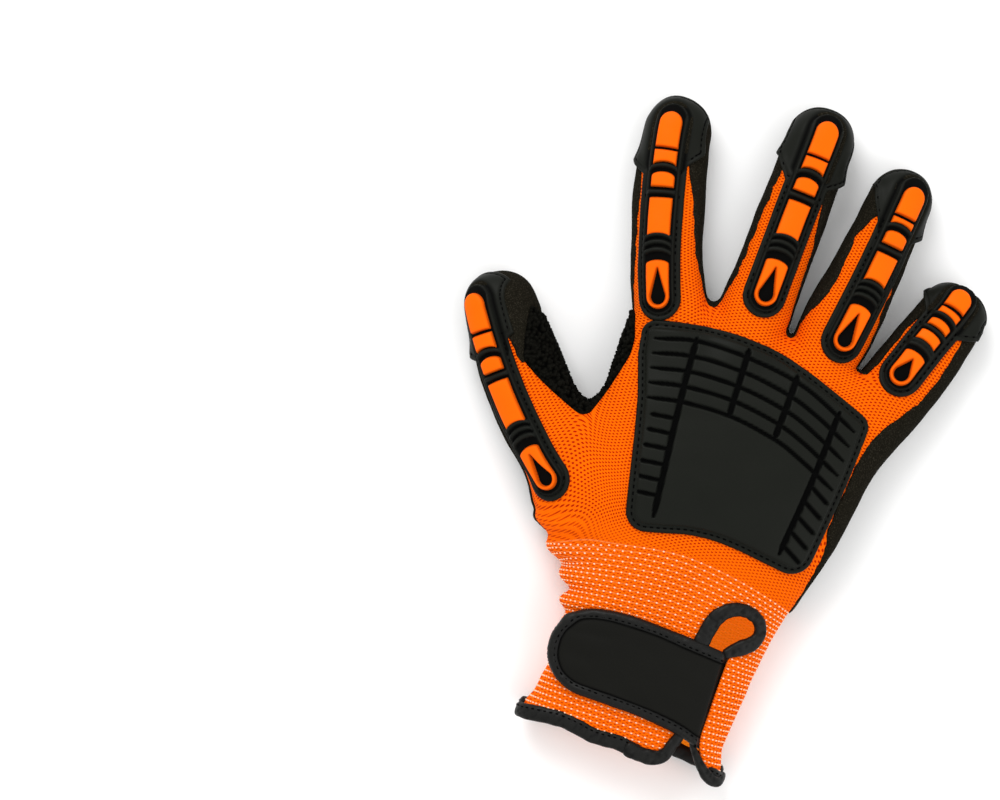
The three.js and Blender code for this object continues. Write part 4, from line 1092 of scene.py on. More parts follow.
class Skin:
    """The knit's outer surface as one fine sheet, which the liner and the coating are cut from."""

    def __init__(self, form: GloveForm, step: float) -> None:
        """Nets the surface and settles its points on the form.

        Args:
            form: the glove's form.
            step: the net's step in millimetres.
        """
        self.form = form
        low, high = np.array([-121.0, -141.0, -1.0]), np.array([90.0, 137.0, 36.0])
        points, self.faces = netted(form.field, low, high, step)
        self.points = form.settled(points, 3)
        self.normals = unit(form.slope(self.points))

    def weave(self) -> Array:
        """Each point's place on the cloth, across and along, blended between the parts it lies on.

        On a finger it is anchor + (arc round the finger, distance past the anchor), on the palm it is
        x and y, and on the cuff the rows of stitches lie at even steps of the second value.
        """
        _, weights = self.form.shares(self.points, 3.0)
        x, y, z = self.points.T
        cuff = eased((-14.0 - y) / 28.0)
        rows = CUFF.first - CUFF.row_gap * CUFF.row(x, y)
        across, along = weights[0] * x, weights[0] * (y + cuff * (rows - y))
        for weight, finger in zip(weights[1:], self.form.fingers.values()):
            anchor_along, anchor_across = finger.places(*(np.array(value) for value in ANCHORS[finger.name]))
            d, a = finger.places(x, y)
            wide, high, level = finger.half_sizes(d)
            angle = np.arctan2(a / wide, (z - level) / high)
            across = across + weight * (ANCHORS[finger.name][0] - anchor_across + angle * (wide + high) / 2)
            along = along + weight * (ANCHORS[finger.name][1] + d - anchor_along)
        return np.stack([across, along], axis=1)

    def openness(self) -> Array:
        """How far the loops are pulled open: most near the knuckles and the thumb, least on the cuff."""
        x, y, _ = self.points.T
        patch = 0.5 + 0.5 * Ripples(13, 45.0)(self.points)
        pulled = 0.5 + 0.35 * eased((y + 50.0) / 8.0) + 0.3 * patch
        thumb = np.exp(-(((x + 62.0) / 16.0) ** 2) - (((y + 22.0) / 18.0) ** 2))
        knuckles = np.exp(-(((y - 44.0 + 0.3 * np.maximum(x - 10.0, 0.0)) / 12.0) ** 2))
        return np.clip(pulled + 0.3 * thumb + 0.35 * knuckles, 0.0, 1.0)

    def coat_depth(self) -> Array:
        """How far inside the dipped coating each point lies, in millimetres."""
        _, weights = self.form.shares(self.points)
        x, y, z = self.points.T
        ulnar = x - Column(COAT_ULNAR, 3.0)(y)
        side = FLOOR + np.where(x < 0, 12.0, 13.5) - z
        depth = weights[0] * np.maximum(ulnar, side)
        for weight, finger in zip(weights[1:], self.form.fingers.values()):
            d, a = finger.places(x, y)
            wide, _, level = finger.half_sizes(d)
            share = d / finger.length
            rows = COAT_SIDES[finger.name]
            left = Column(rows, 0.03, 1)(share) * wide - a
            right = a - Column(rows, 0.03, 2)(share) * wide
            near_web = 3.0 * (1.0 - eased(share / 0.3)) * (finger.name != "thumb")
            below = np.maximum(level + 0.5 - near_web - z, d - finger.length + 4.5)
            depth = depth + weight * np.maximum(np.maximum(left, right), below)
        ragged = 0.3 * Ripples(21, 8.0)(self.points) + 0.22 * Ripples(22, 2.2)(self.points)
        hem = Column(COAT_HEM, 4.0)(x)
        return np.minimum(depth + ragged, y - hem + 1.6 * ragged)


@dataclass
class KnitLiner:
    """The hollow knitted glove, open at the hem and along the slit."""

    skin: Skin

    def build(self) -> Piece:
        """Cuts the sheet at the hem and slit, and gives it the knit's thickness inwards."""
        skin = self.skin
        x, y, z = skin.points.T
        upper = z > 11.0
        hem = y - np.where(upper, Column(HEM_TOP, 1.6)(x), Column(HEM_LOW, 3.0)(x))
        slit = depth_inside(x, y, slit_outline())
        open_side = np.where(upper & (slit > -6.0), -slit, 9.0)
        data = np.concatenate([skin.points, skin.normals, skin.weave(), skin.openness()[:, None]], axis=1)
        data, faces = clipped(data, skin.faces, np.minimum(hem, open_side))
        outer = data[:, :3] + edge_lift(data[:, :3])[:, None] * UP
        inner = outer - unit(data[:, 3:6]) * KNIT
        count = len(faces)
        points, faces = shell(outer, inner, faces)
        nodes = [part + "_knit" for part in ("palm", *FINGERS)]
        piece = make_piece("knit_body", points, faces, KNIT_FINISH, Slot.KNIT, nodes,
                           np.tile(data[:, 6:8], (2, 1)), {"open": np.tile(data[:, 8], 2)})
        piece.data.materials.append(PAINTBOX.material(INSIDE_FINISH))
        kinds = np.zeros(len(faces), np.int32)
        kinds[count : 2 * count] = 1
        piece.data.polygons.foreach_set("material_index", kinds)
        return piece


@dataclass
class PalmCoating:
    """The dipped coating over the palm, the undersides of the fingers and their tips."""

    skin: Skin

    def build(self) -> Piece:
        """Cuts the sheet along the coating's edge, with a thickness that fades out there."""
        skin = self.skin
        depth = skin.coat_depth()
        x, y, z = skin.points.T
        back, palm = patch_depths(x, y)
        patch = np.where(z > 15.0, back, palm)
        depth = np.minimum(depth, 0.4 - patch)
        thickness = COAT * shoulder(depth, 1.6)
        lower = skin.points - skin.normals * 0.12
        upper = skin.points + skin.normals * thickness[:, None]
        upper[:, 2] = np.maximum(upper[:, 2], TABLE_CLEARANCE)
        data, faces = clipped(np.concatenate([upper, lower], axis=1), skin.faces, depth)
        points, faces = shell(data[:, :3], data[:, 3:], faces)
        nodes = [part + "_coating" for part in ("palm", *FINGERS)]
        return make_piece("dipped_coating", points, faces, COAT_FINISH, Slot.COATING, nodes)


@dataclass
class CrotchPatch:
    """The pebbled patch sewn over the thumb's crotch."""

    thickness: float = 1.5
    pebble: float = 1.35
    step: float = 0.42

    def build(self, form: GloveForm) -> Piece:
        """Nets the surface there finely, cuts it to the patch and raises a pebble on each cell of it.

        The height is a rounded edge times the thickness less 0.6 plus 1.05 * (1 - (nearest / 0.8)^2).
        """
        low, high = np.array([-92.0, -13.0, -1.0]), np.array([-34.0, 42.0, 32.0])
        points, faces = netted(form.field, low, high, self.step)
        points = form.settled(points, 2)
        normals = unit(form.slope(points))
        x, y, z = points.T
        back, palm = patch_depths(x, y)
        share = eased((z - 12.0) / 6.0)
        depth = share * back + (1 - share) * palm
        bump = 1.0 - np.minimum(pebbles(points, self.pebble) / 0.8, 1.0) ** 2
        height = shoulder(depth, 0.8) * (self.thickness - 0.6 + 1.05 * bump)
        upper = points + normals * height[:, None]
        upper[:, 2] = np.maximum(upper[:, 2], TABLE_CLEARANCE)
        # Painted shade: the valleys between the pebbles are darkened, leaving the tops lighter.
        data = np.concatenate([upper, points - normals * 0.15, 1.0 - bump[:, None]], axis=1)
        edge = np.min([x - low[0] - 1, high[0] - 1 - x, y - low[1] - 1, high[1] - 1 - y], axis=0)
        data, faces = clipped(data, faces, np.minimum(depth, edge))
        points, faces = shell(data[:, :3], data[:, 3:6], faces)
        return make_piece("thumb_patch", points, faces, PATCH_FINISH, Slot.PATCH, ["crotch_patch"],
                          masks={"painted_shade": np.tile(data[:, 6], 2)})


# Finger guards


@dataclass(frozen=True)
class Pad:
    """A raised block on a guard: its ends as shares of the guard's length, and how much they arch."""

    name: str
    start: float
    stop: float
    start_arch: float = 0.0
    stop_arch: float = 0.0

    def outline(self, length: float, half: float, grow: float = 0.0) -> Array:
        """The block's outline, across and along, with straight sides and arched or round ends.

        An end is along + arch * 2 half * sqrt(1 - t^2) for t from one side to the other; a start
        arch of -1 is a half circle.
        """
        wide = half + grow
        t = np.sin(np.linspace(-math.pi / 2, math.pi / 2, 17))
        bow = np.sqrt(np.maximum(1.0 - t * t, 0.0))
        low = self.start * length - grow
        if self.start_arch < -0.5:
            start = low + wide - wide * bow
        else:
            start = low + self.start_arch * 2 * half * bow
        stop = self.stop * length + grow + self.stop_arch * 2 * half * bow
        sides = np.linspace(0.0, 1.0, 12)[1:-1]
        right = start[-1] + sides * (stop[-1] - start[-1])
        return np.concatenate([
            np.stack([wide * t, start], 1), np.stack([np.full(10, wide), right], 1),
            np.stack([wide * t[::-1], stop[::-1]], 1), np.stack([np.full(10, -wide), right[::-1]], 1),
        ])


@dataclass(frozen=True)
class Rib:
    """An arched bar across a guard: its place as a share of the guard's length."""

    place: float
    arch: float = 0.3


@dataclass(frozen=True)
class GuardPlan:
    """Where a finger's guard lies: its start, its shift from the middle line, its pads, ribs and shell.

    The shifts are millimetres to the right at the start, middle and end. The shell's reaches are
    millimetres from the guard's line to its left and right, and its corners are shares of the
    guard's length at the strip's side and at the finger's side.
    """

    start: float
    shifts: tuple[float, float, float]
    reach: tuple[float, float]
    notch: tuple[float, float]
    corner: tuple[float, float]
    pads: tuple[Pad, ...]
    ribs: tuple[Rib, ...]


PAD_NAMES = ("drop", "long", "joint", "nail", "tip")
ARCHES = ((-1.0, 0.2), (0.22, 0.03), (0.0, 0.24), (0.2, 0.02), (0.02, 0.42))
LITTLE_ARCHES = ((-1.0, 0.2), (0.2, 0.15), (0.15, 0.22), (0.2, 0.1), (0.1, 0.34))


def pads(ends: Rows, arches: Rows = ARCHES) -> tuple[Pad, ...]:
    """A guard's five pads, from the shares where each starts and stops and from its two arches."""
    return tuple(Pad(name, *end, *arch) for name, end, arch in zip(PAD_NAMES, ends, arches))


LONG_PADS = pads(((0.053, 0.252), (0.365, 0.552), (0.6, 0.645), (0.692, 0.768), (0.778, 0.893)))
LONG_RIBS = (Rib(0.288), Rib(0.322), Rib(0.356), Rib(0.576, 0.03), Rib(0.668))
THUMB_PADS = pads(((0.05, 0.245), (0.36, 0.578), (0.622, 0.665), (0.712, 0.795), (0.807, 0.925)))
THUMB_RIBS = (Rib(0.283), Rib(0.316), Rib(0.349), Rib(0.6, 0.03), Rib(0.688))
RING_PADS = pads(((0.06, 0.278), (0.412, 0.578), (0.626, 0.676), (0.72, 0.77), (0.782, 0.882)))
RING_RIBS = (Rib(0.318), Rib(0.354), Rib(0.39), Rib(0.602, 0.03), Rib(0.7))
LITTLE_PADS = pads(((0.08, 0.34), (0.44, 0.542), (0.59, 0.65), (0.704, 0.78), (0.8, 0.89)), LITTLE_ARCHES)
LITTLE_RIBS = (Rib(0.376), Rib(0.41), Rib(0.565, 0.16), Rib(0.679))

GUARD_PLANS = {
    "thumb": GuardPlan(0.071, (-9.0, -9.2, -8.6), (14.0, 11.2), (0.69, 0.745), (0.725, 0.775), THUMB_PADS,
                       THUMB_RIBS),
    "index": GuardPlan(0.135, (-4.8, -2.8, -3.6), (15.6, 14.2), (0.65, 0.7), (0.71, 0.78), LONG_PADS,
                       LONG_RIBS),
    "middle": GuardPlan(0.221, (0.6, 0.4, 1.0), (16.6, 15.8), (0.62, 0.64), (0.735, 0.71), LONG_PADS,
                        LONG_RIBS),
    "ring": GuardPlan(0.176, (3.2, 3.6, 2.8), (16.0, 14.4), (0.7, 0.68), (0.87, 0.735), RING_PADS, RING_RIBS),
    "little": GuardPlan(0.357, (-2.8, -2.8, -0.6), (15.2, 15.2), (0.66, 0.64), (0.8, 0.74), LITTLE_PADS,
                        LITTLE_RIBS),
}


class FingerChart:
    """Charts along a finger's guard: rows cross the guard's line, which runs over the fingertip."""

    def __init__(self, form: GloveForm, finger: Finger, plan: GuardPlan) -> None:
        """Finds the guard's line on the surface.

        Up to the dome it lies over plan points beside the finger's middle line. Past that, rays from
        the dome's middle tilt from the last such point towards the finger's heading.

        Args:
            form: the glove's form.
            finger: the finger that it lies on.
            plan: the guard's plan.
        """
        self.form = form
        start = plan.start * finger.length
        end = finger.dome * finger.length
        self.length = finger.length - start
        along = np.linspace(start, end, 60)
        share = (along - start) / self.length
        shift = Column([(0.0, plan.shifts[0]), (0.5, plan.shifts[1]), (1.0, plan.shifts[2])], 0.25)(share)
        spots = finger.middle(along) + shift[:, None] * finger.right(along)[:, :2]
        line = form.top(spots[:, 0], spots[:, 1])
        _, _, level = finger.half_sizes(np.array([end]))
        centre = np.array([*finger.middle(end), level[0]])
        last = unit(line[-1] - centre)
        tilt = np.radians(np.linspace(4.0, 84.0, 30))[:, None]
        headings = np.cos(tilt) * last + np.sin(tilt) * finger.heading(end)
        over = form.cast(np.broadcast_to(centre, headings.shape), headings)
        self.line = np.concatenate([line, over])

    def chart(self, step: float, left: float, right: float) -> Chart:
        """Walks from the line to both sides over the surface, in planes square to the line.

        A step goes along line direction x surface normal, and is then moved back onto the surface
        within its plane.

        Args:
            step: the grid's step along and across.
            left: how far the chart reaches to the left.
            right: how far it reaches to the right.

        Returns:
            The chart, with distances from the guard's start and from its line.
        """
        line = even(self.line, step)
        ahead = unit(np.gradient(line, axis=0))
        beside = 0.5 * (np.roll(ahead, 1, 0) + np.roll(ahead, -1, 0))
        beside[0] = 0.0
        ahead = unit(ahead + beside)
        sides = {}
        for sign, reach in ((-1.0, left), (1.0, right)):
            here = line
            run = []
            for _ in range(int(math.ceil(reach / step))):
                slope = self.form.slope(here, 0.25)
                slope = slope - (slope * ahead).sum(1, keepdims=True) * ahead
                here = here + sign * step * np.cross(ahead, unit(slope))
                for _ in range(2):
                    slope = self.form.slope(here, 0.25)
                    slope = slope - (slope * ahead).sum(1, keepdims=True) * ahead
                    size = np.maximum((slope**2).sum(1, keepdims=True), 1e-3)
                    here = here - np.clip(self.form.field(here)[:, None] / size, -0.6, 0.6) * slope
                run.append(here)
            sides[sign] = run
        points = np.stack([*sides[-1.0][::-1], line, *sides[1.0]], axis=1)
        normals = unit(self.form.slope(points, 0.3))
        run = np.concatenate([[0.0], np.cumsum(np.linalg.norm(np.diff(line, axis=0), axis=1))])
        across = (np.arange(points.shape[1]) - len(sides[-1.0])) * step
        along, across = np.broadcast_arrays(run[:, None], across[None, :])
        middle, reach = len(sides[-1.0]), int(3.4 / step)
        first, last = middle - reach, middle + reach
        turned = np.linalg.norm(normals[:, last] - normals[:, first], axis=1)
        bend = turned / np.linalg.norm(points[:, last] - points[:, first], axis=1)
        kernel = np.hanning(2 * int(4.0 / step) + 1)
        bend = np.convolve(np.pad(bend, len(kernel) // 2, mode="edge"), kernel / kernel.sum(), mode="valid")
        return Chart(points, normals, along, across, bend[:, None])


# How far from the guard's line the shell's rear corners lie.
SHELL_CORNER = 14.5


@dataclass
class FingerGuard:
    """A finger's moulded guard: a sewn flange, a raised body with ribs, a fingertip shell and pads."""

    name: str
    half_flange: float = 8.8
    half_body: float = 6.4
    half_pad: float = 4.8
    flange: float = 1.25
    body: float = 1.15
    rib: float = 1.15
    pad: float = 1.6
    flare: float = 1.5
    rim: float = 0.14
    seam_inset: float = 2.05
    seam_groove: float = 0.34
    seam_gap: float = 2.5
    stitch: float = 1.6
    well: float = 0.45
    step: float = 0.42
    pad_step: float = 0.32

    def depths(self, chart: Chart, plan: GuardPlan, length: float) -> tuple[Array, Array]:
        """How deep each point lies inside the whole guard and inside its raised body."""
        x, y = chart.across, chart.along
        strip = Pad("strip", 0.0, plan.notch[1] + 0.14, -1.0).outline(length, self.half_flange)
        stop = max(0.905, plan.pads[-1].stop + 0.012)
        first = (self.half_flange - self.half_body) / length
        body = Pad("body", first, stop, -1.0, 0.5).outline(length, self.half_body)
        in_strip = depth_inside(chart.spread(0.7), y, strip)
        in_body = depth_inside(chart.spread(2.0), y, body)
        end = chart.along.max() - 0.4
        rears = []
        for sign, k in ((-1, 0), (1, 1)):
            rear = np.interp(sign * x, (0.0, self.half_flange - 1.0, SHELL_CORNER),
                             (plan.notch[k] * length, plan.notch[k] * length, plan.corner[k] * length))
            rears.append(np.where(sign * x > 0, y - rear, 99.0))
        side = np.where(x < 0, plan.reach[0] + x, plan.reach[1] - x)
        shell_depth = np.min([rears[0] * 0.8, rears[1] * 0.8, side, end - y], axis=0)
        return np.maximum(in_strip, shell_depth), in_body

    def heights(self, chart: Chart, plan: GuardPlan, length: float, whole: Array,
                body: Array) -> tuple[Array, Array]:
        """The guard's height, and how much painted shade each point gets where it lies in a recess.

        The flange, the raised body and the ribs are each a full height times a rounded shoulder of
        their depth, and the seam and the channel round the tip take away a bell-shaped share.
        """
        x, y = chart.spread(2.6), chart.along
        seam = np.exp(-(((whole - self.seam_inset) / 0.36) ** 2)) * eased((0.4 - body) / 0.6)
        tip = eased((y / length - 0.66) / 0.04)
        halo = np.exp(-(((body + 0.1 + 1.3 * tip) / (0.45 + 0.65 * tip)) ** 2))
        height = self.flange * shoulder(whole, 0.7)
        height = height + self.rim * eased((whole - 0.2) / 0.7) * eased((1.6 - whole) / 0.5)
        height = height - self.seam_groove * seam - (0.25 + 0.4 * tip) * halo
        height = height + self.body * shoulder(body + 0.2, 0.9)
        for sign, k in ((-1, 0), (1, 1)):
            out = eased((sign * x - 9.5) / 5.0)
            ends = np.array([plan.notch[k], plan.corner[k]]) * length
            rear = np.interp(sign * chart.across, (self.half_flange - 1.0, SHELL_CORNER), ends)
            height = height + self.flare * out * np.exp(-(((y - rear) / 5.0) ** 2)) * shoulder(whole, 0.7)
        ribs = np.zeros_like(height)
        bow = np.sqrt(np.clip(1.0 - (x / (self.half_pad + 0.9)) ** 2, 0.0, 1.0))
        for rib in plan.ribs:
            gap = np.abs(y - rib.place * length - rib.arch * 2 * self.half_pad * bow)
            side = self.half_pad + 0.6 - np.abs(x)
            ribs = np.maximum(ribs, shoulder(np.minimum(0.95 - gap, side), 0.8))
        well = eased((self.half_pad + 0.9 - np.abs(x)) / 0.5) * eased((body - 0.3) / 0.5)
        height = height - self.well * well * (1.0 - ribs) + self.rib * ribs
        # Painted shade: colour darkened in the seam groove, the channel round the tip and the well beside the
        # pads.
        painted_shade = np.maximum.reduce([0.3 * seam, (0.55 + 0.4 * tip) * halo, 0.95 * well * (1.0 - ribs)])
        return height, painted_shade

    def build(self, form: GloveForm) -> list[Piece]:
        """Makes the guard, its seam and its five pads."""
        plan = GUARD_PLANS[self.name]
        lay = FingerChart(form, form.fingers[self.name], plan)
        length = lay.length
        left, right = (max(reach, self.half_flange) + 0.6 for reach in plan.reach)
        chart = lay.chart(self.step, left, right)
        whole, body = self.depths(chart, plan, length)
        height, painted_shade = self.heights(chart, plan, length, whole, body)
        points, faces, masks = chart.relief(whole, height, 0.12, painted_shade)
        made = [make_piece(self.name + "_shell", points, faces, RUBBER_FINISH, Slot.GUARD,
                           [self.name + "_guard"], masks=masks)]
        made.append(self.seam(chart, whole, body, height))
        narrow = lay.chart(self.pad_step, self.half_pad + 0.5, self.half_pad + 0.5)
        for pad in plan.pads:
            made.append(self.build_pad(narrow, pad, length))
        return made

    def seam(self, chart: Chart, whole: Array, body: Array, height: Array) -> Piece:
        """The dark stitches in the flange's groove, where the level line of its depth runs."""
        rows, columns = np.nonzero((np.abs(whole - self.seam_inset) < self.step / 2) & (body < 0.2))
        normals = chart.normals[rows, columns]
        spots = chart.points[rows, columns] + normals * (height[rows, columns] - 0.02)[:, None]
        over, along = np.gradient(whole, self.step)
        run_along = np.gradient(chart.points, axis=0)[rows, columns]
        run_across = np.gradient(chart.points, axis=1)[rows, columns]
        heading = unit(run_along * along[rows, columns][:, None] - run_across * over[rows, columns][:, None])
        phase = np.mod((chart.along[rows, columns] * np.abs(along[rows, columns])
                        + chart.across[rows, columns] * np.abs(over[rows, columns])) / self.seam_gap, 1.0)
        pick = phase < self.step / self.seam_gap
        points, faces = stitches(spots[pick], heading[pick], normals[pick], self.stitch, SEAM_RADIUS)
        return make_piece(self.name + "_seam", points, faces, DARK_THREAD_FINISH, Slot.TAPE)

    def build_pad(self, chart: Chart, pad: Pad, length: float) -> Piece:
        """One orange block with rounded edges and a slight crown, and a drop-shaped hole in the first."""
        outline = pad.outline(length, self.half_pad)
        low, high = outline[:, 1].min() - 1.0, outline[:, 1].max() + 1.0
        part = chart.rows((chart.along[:, 0] > low) & (chart.along[:, 0] < high))
        across = part.spread(3.6)
        depth = depth_inside(across, part.along, outline)
        if pad.name == "drop":
            middle = pad.start * length + self.half_pad
            apex = pad.stop * length - 1.6
            angle = np.radians(np.linspace(-28.0, 208.0, 17))
            round_end = np.stack([3.05 * np.cos(angle), middle - 3.05 * np.sin(angle)], 1)
            hole = depth_inside(across, part.along, np.concatenate([round_end, [[0.0, apex]]]))
            depth = np.minimum(depth, -hole)
        crown = 0.3 * (1.0 - (across / self.half_pad) ** 2)
        base = self.flange + self.body - 0.6
        height = base + (self.pad + 0.45 + crown) * shoulder(depth, 1.1)
        # Painted shade: the block's rounded edges are darkened in colour.
        points, faces, masks = part.relief(depth, height, -base, 1.0 - eased(depth / 0.9))
        name = f"{self.name}_block_{pad.name}"
        return make_piece(name, points, faces, PAD_FINISH, Slot.PAD, [f"{self.name}_pad_{pad.name}"],
                          masks=masks)


SEAM_RADIUS = 0.32
THREAD_RINGS = ((-0.5, 0.45, -1.2), (-0.3, 1.0, 0.0), (0.3, 1.0, 0.0), (0.5, 0.45, -1.2))
DOT_RINGS = ((-0.26, 0.92, 0.0), (0.26, 0.92, 0.0))


def stitches(spots: Array, headings: Array, normals: Array, length: float, radius: float,
             rings: Rows = THREAD_RINGS, sides: int = 6) -> tuple[Array, Array]:
    """A short rounded thread at each spot, made of a few rings of points and an end point past each end.

    Args:
        spots: the threads' middles.
        headings: the way each one runs.
        normals: the way out of the cloth.
        length: a thread's length.
        radius: its radius.
        rings: each ring's place as a share of the length, and its size and lift as shares of the radius.
        sides: how many points a ring has.

    Returns:
        The points and triangles of all the threads.
    """
    places, sizes, lifts = np.array(rings).T
    angle = np.arange(sides) * 2 * math.pi / sides
    side = np.cross(headings, normals)
    ring = (np.cos(angle)[:, None] * side[:, None, None] + np.sin(angle)[:, None] * normals[:, None, None])
    centre = (spots[:, None] + headings[:, None] * (places * length)[None, :, None]
              + normals[:, None] * (lifts * radius)[None, :, None])
    points = centre[:, :, None] + ring * (radius * sizes)[None, :, None, None]
    ends = np.stack([spots - headings * length * 0.52, spots + headings * length * 0.52], axis=1)
    ends = ends + normals[:, None] * (lifts[[0, -1]] * radius)[None, :, None]
    block = np.concatenate([points.reshape(len(spots), -1, 3), ends], axis=1)
    i = np.arange(sides)
    j = (i + 1) % sides
    size, last = len(places) * sides, (len(places) - 1) * sides
    caps = [np.stack([i * 0 + size, j, i], 1), np.stack([i * 0 + size + 1, last + i, last + j], 1)]
    faces = np.concatenate([grid_faces(len(places), sides, round_columns=True), *caps])
    outward = np.dot(np.cross(headings[0], side[0]), normals[0]) > 0 if len(spots) else True
    faces = faces if outward else faces[:, ::-1]
    total = (faces[None] + (size + 2) * np.arange(len(spots))[:, None, None]).reshape(-1, 3)
    return block.reshape(-1, 3), total


# Back guard


@dataclass
class BackGuard:
    """The moulded plate over the back of the hand, with a sewn border and a grooved field."""

    border: float = 1.3
    field: float = 1.15
    field_inset: float = 3.1
    groove: float = 1.35
    wide_groove: float = 1.15
    fine_groove: float = 0.72
    seam_inset: float = 2.0
    seam_gap: float = 2.6
    step: float = 0.43
    corners: Rows = (
        (-44, 33.6, 5), (-42.6, 20, 2), (-38, 4, 3), (-34.8, -12, 3),
        (-31.6, -30, 3), (-28.4, -46.4, 8), (-14, -43.4, 5), (-5, -41, 4),
        (5, -40.2, 4), (15, -41, 4), (25, -42.6, 4), (43.2, -45.6, 9), (46.2, -24, 3),
        (48.6, -5, 3), (49.8, 8, 3), (50.8, 20.6, 4), (45, 23.2, 1.5), (35, 27.3, 4),
        (25, 31.3, 4), (15, 34.7, 4), (5, 37, 4), (-8, 38.1, 4), (-20, 37.6, 4),
        (-31, 36.2, 4),
    )
    channels: tuple[Rows, ...] = (((-23, 31.5), (-21.5, 0), (-19, -38)), ((-2.5, 33.5), (-2.5, 7)),
                                  ((18.5, 29), (16.5, 4)),
                                  ((37.5, 20.5), (36, 3), (34, -15), (31, -37.5)))
    first_arch: Rows = ((-37.5, 27.5), (-23, 30.5), (-3, 30.4), (18, 26.8), (30, 22.5), (45, 15))
    last_arch: Rows = ((-34, 4.6), (-21, 6.8), (-3, 7), (16, 3.6), (28, -1), (43, -8.5))

    def grooves(self) -> list[tuple[Array, float]]:
        """The grooves' lines in plan with their widths."""
        lines = [(curve(line, 1.5), self.wide_groove) for line in self.channels]
        first, last = np.array(self.first_arch), np.array(self.last_arch)
        for i in range(5):
            lines.append((curve(first + (last - first) * i / 4, 1.5), self.fine_groove))
        for i in range(6):
            x, y = -21.5 + 0.35 * i, -6.0 * i
            lines.append((np.array([[x - 9.5, y - 0.9], [x, y]]), self.fine_groove))
        for i in range(5):
            x, y = 35.3 - 0.85 * i, -9.6 - 6.2 * i
            lines.append((np.array([[x, y], [x + 7.6, y - 4.6]]), self.fine_groove))
        return lines

    def build(self, form: GloveForm) -> list[Piece]:
        """Makes the plate and its seam.

        The height is the border plus the field, each with a rounded shoulder, less each groove: its
        depth times a smooth step of its half width, which tapers towards the line's ends.
        """
        outline = rounded(self.corners)
        chart = plan_chart(form, (-48.0, -50.0), (54.0, 42.0), self.step)
        x, y = chart.across, chart.along
        depth = depth_inside(x, y, outline)
        seam = np.exp(-(((depth - self.seam_inset) / 0.42) ** 2))
        height = self.border * shoulder(depth, 0.8)
        height = height + 0.14 * eased((depth - 0.2) / 0.6) * eased((1.5 - depth) / 0.5) - 0.34 * seam
        inner = depth - self.field_inset
        height = height + self.field * shoulder(inner, 1.5)
        cut = np.zeros_like(height)
        for line, half in self.grooves():
            gap, share = line_gap(x, y, line)
            taper = half * (0.5 + 0.5 * eased(np.minimum(share, 1 - share) / 0.06))
            cut = np.maximum(cut, eased((taper + 0.3 - gap) / 0.62))
        cut = cut * eased(inner / 0.8)
        height = height - self.groove * cut
        # Painted shade: the grooves and the seam are darkened in colour.
        points, faces, masks = chart.relief(depth, height, 0.12, np.maximum(eased(1.35 * cut), 0.3 * seam))
        plate = make_piece("back_plate", points, faces, RUBBER_FINISH, Slot.GUARD, ["back_guard"],
                           masks=masks)
        line = even(shrunk(outline, self.seam_inset), self.seam_gap, closed=True)
        thread = surface_seam(form, line, 1.02, 1.7, 0.33)
        return [plate, make_piece("back_seam", *thread, DARK_THREAD_FINISH, Slot.TAPE)]


def shrunk(outline: Array, inset: float) -> Array:
    """A closed outline moved inwards by an inset along its own normals."""
    ahead = unit(np.roll(outline, -1, 0) - np.roll(outline, 1, 0))
    inward = np.stack([-ahead[:, 1], ahead[:, 0]], 1)
    x, y = outline.T
    turn = np.sign(np.sum(x * np.roll(y, -1) - np.roll(x, -1) * y))
    return outline + inward * turn * inset


def surface_seam(form: GloveForm, line: Array, lift: float, length: float, radius: float,
                 squeeze: float = 1.0) -> tuple[Array, Array]:
    """Stitches along a plan line, lifted over the glove's upper surface.

    Args:
        form: the glove's form.
        line: the plan points of the stitches' middles.
        lift: how far over the surface they lie.
        length: a stitch's length.
        radius: its radius.
        squeeze: as in plan_chart.

    Returns:
        The points and triangles.
    """
    centre = (form.left(line[:, 1]) + form.right(line[:, 1])) / 2
    spots = form.top(centre + (line[:, 0] - centre) * squeeze, line[:, 1])
    normals = unit(form.slope(spots))
    spots[:, 0] = line[:, 0]
    spots = spots + normals * lift
    ahead = np.gradient(spots, axis=0)
    ahead = unit(ahead - (ahead * normals).sum(1, keepdims=True) * normals)
    return stitches(spots, ahead, normals, length, radius)


# Cuff


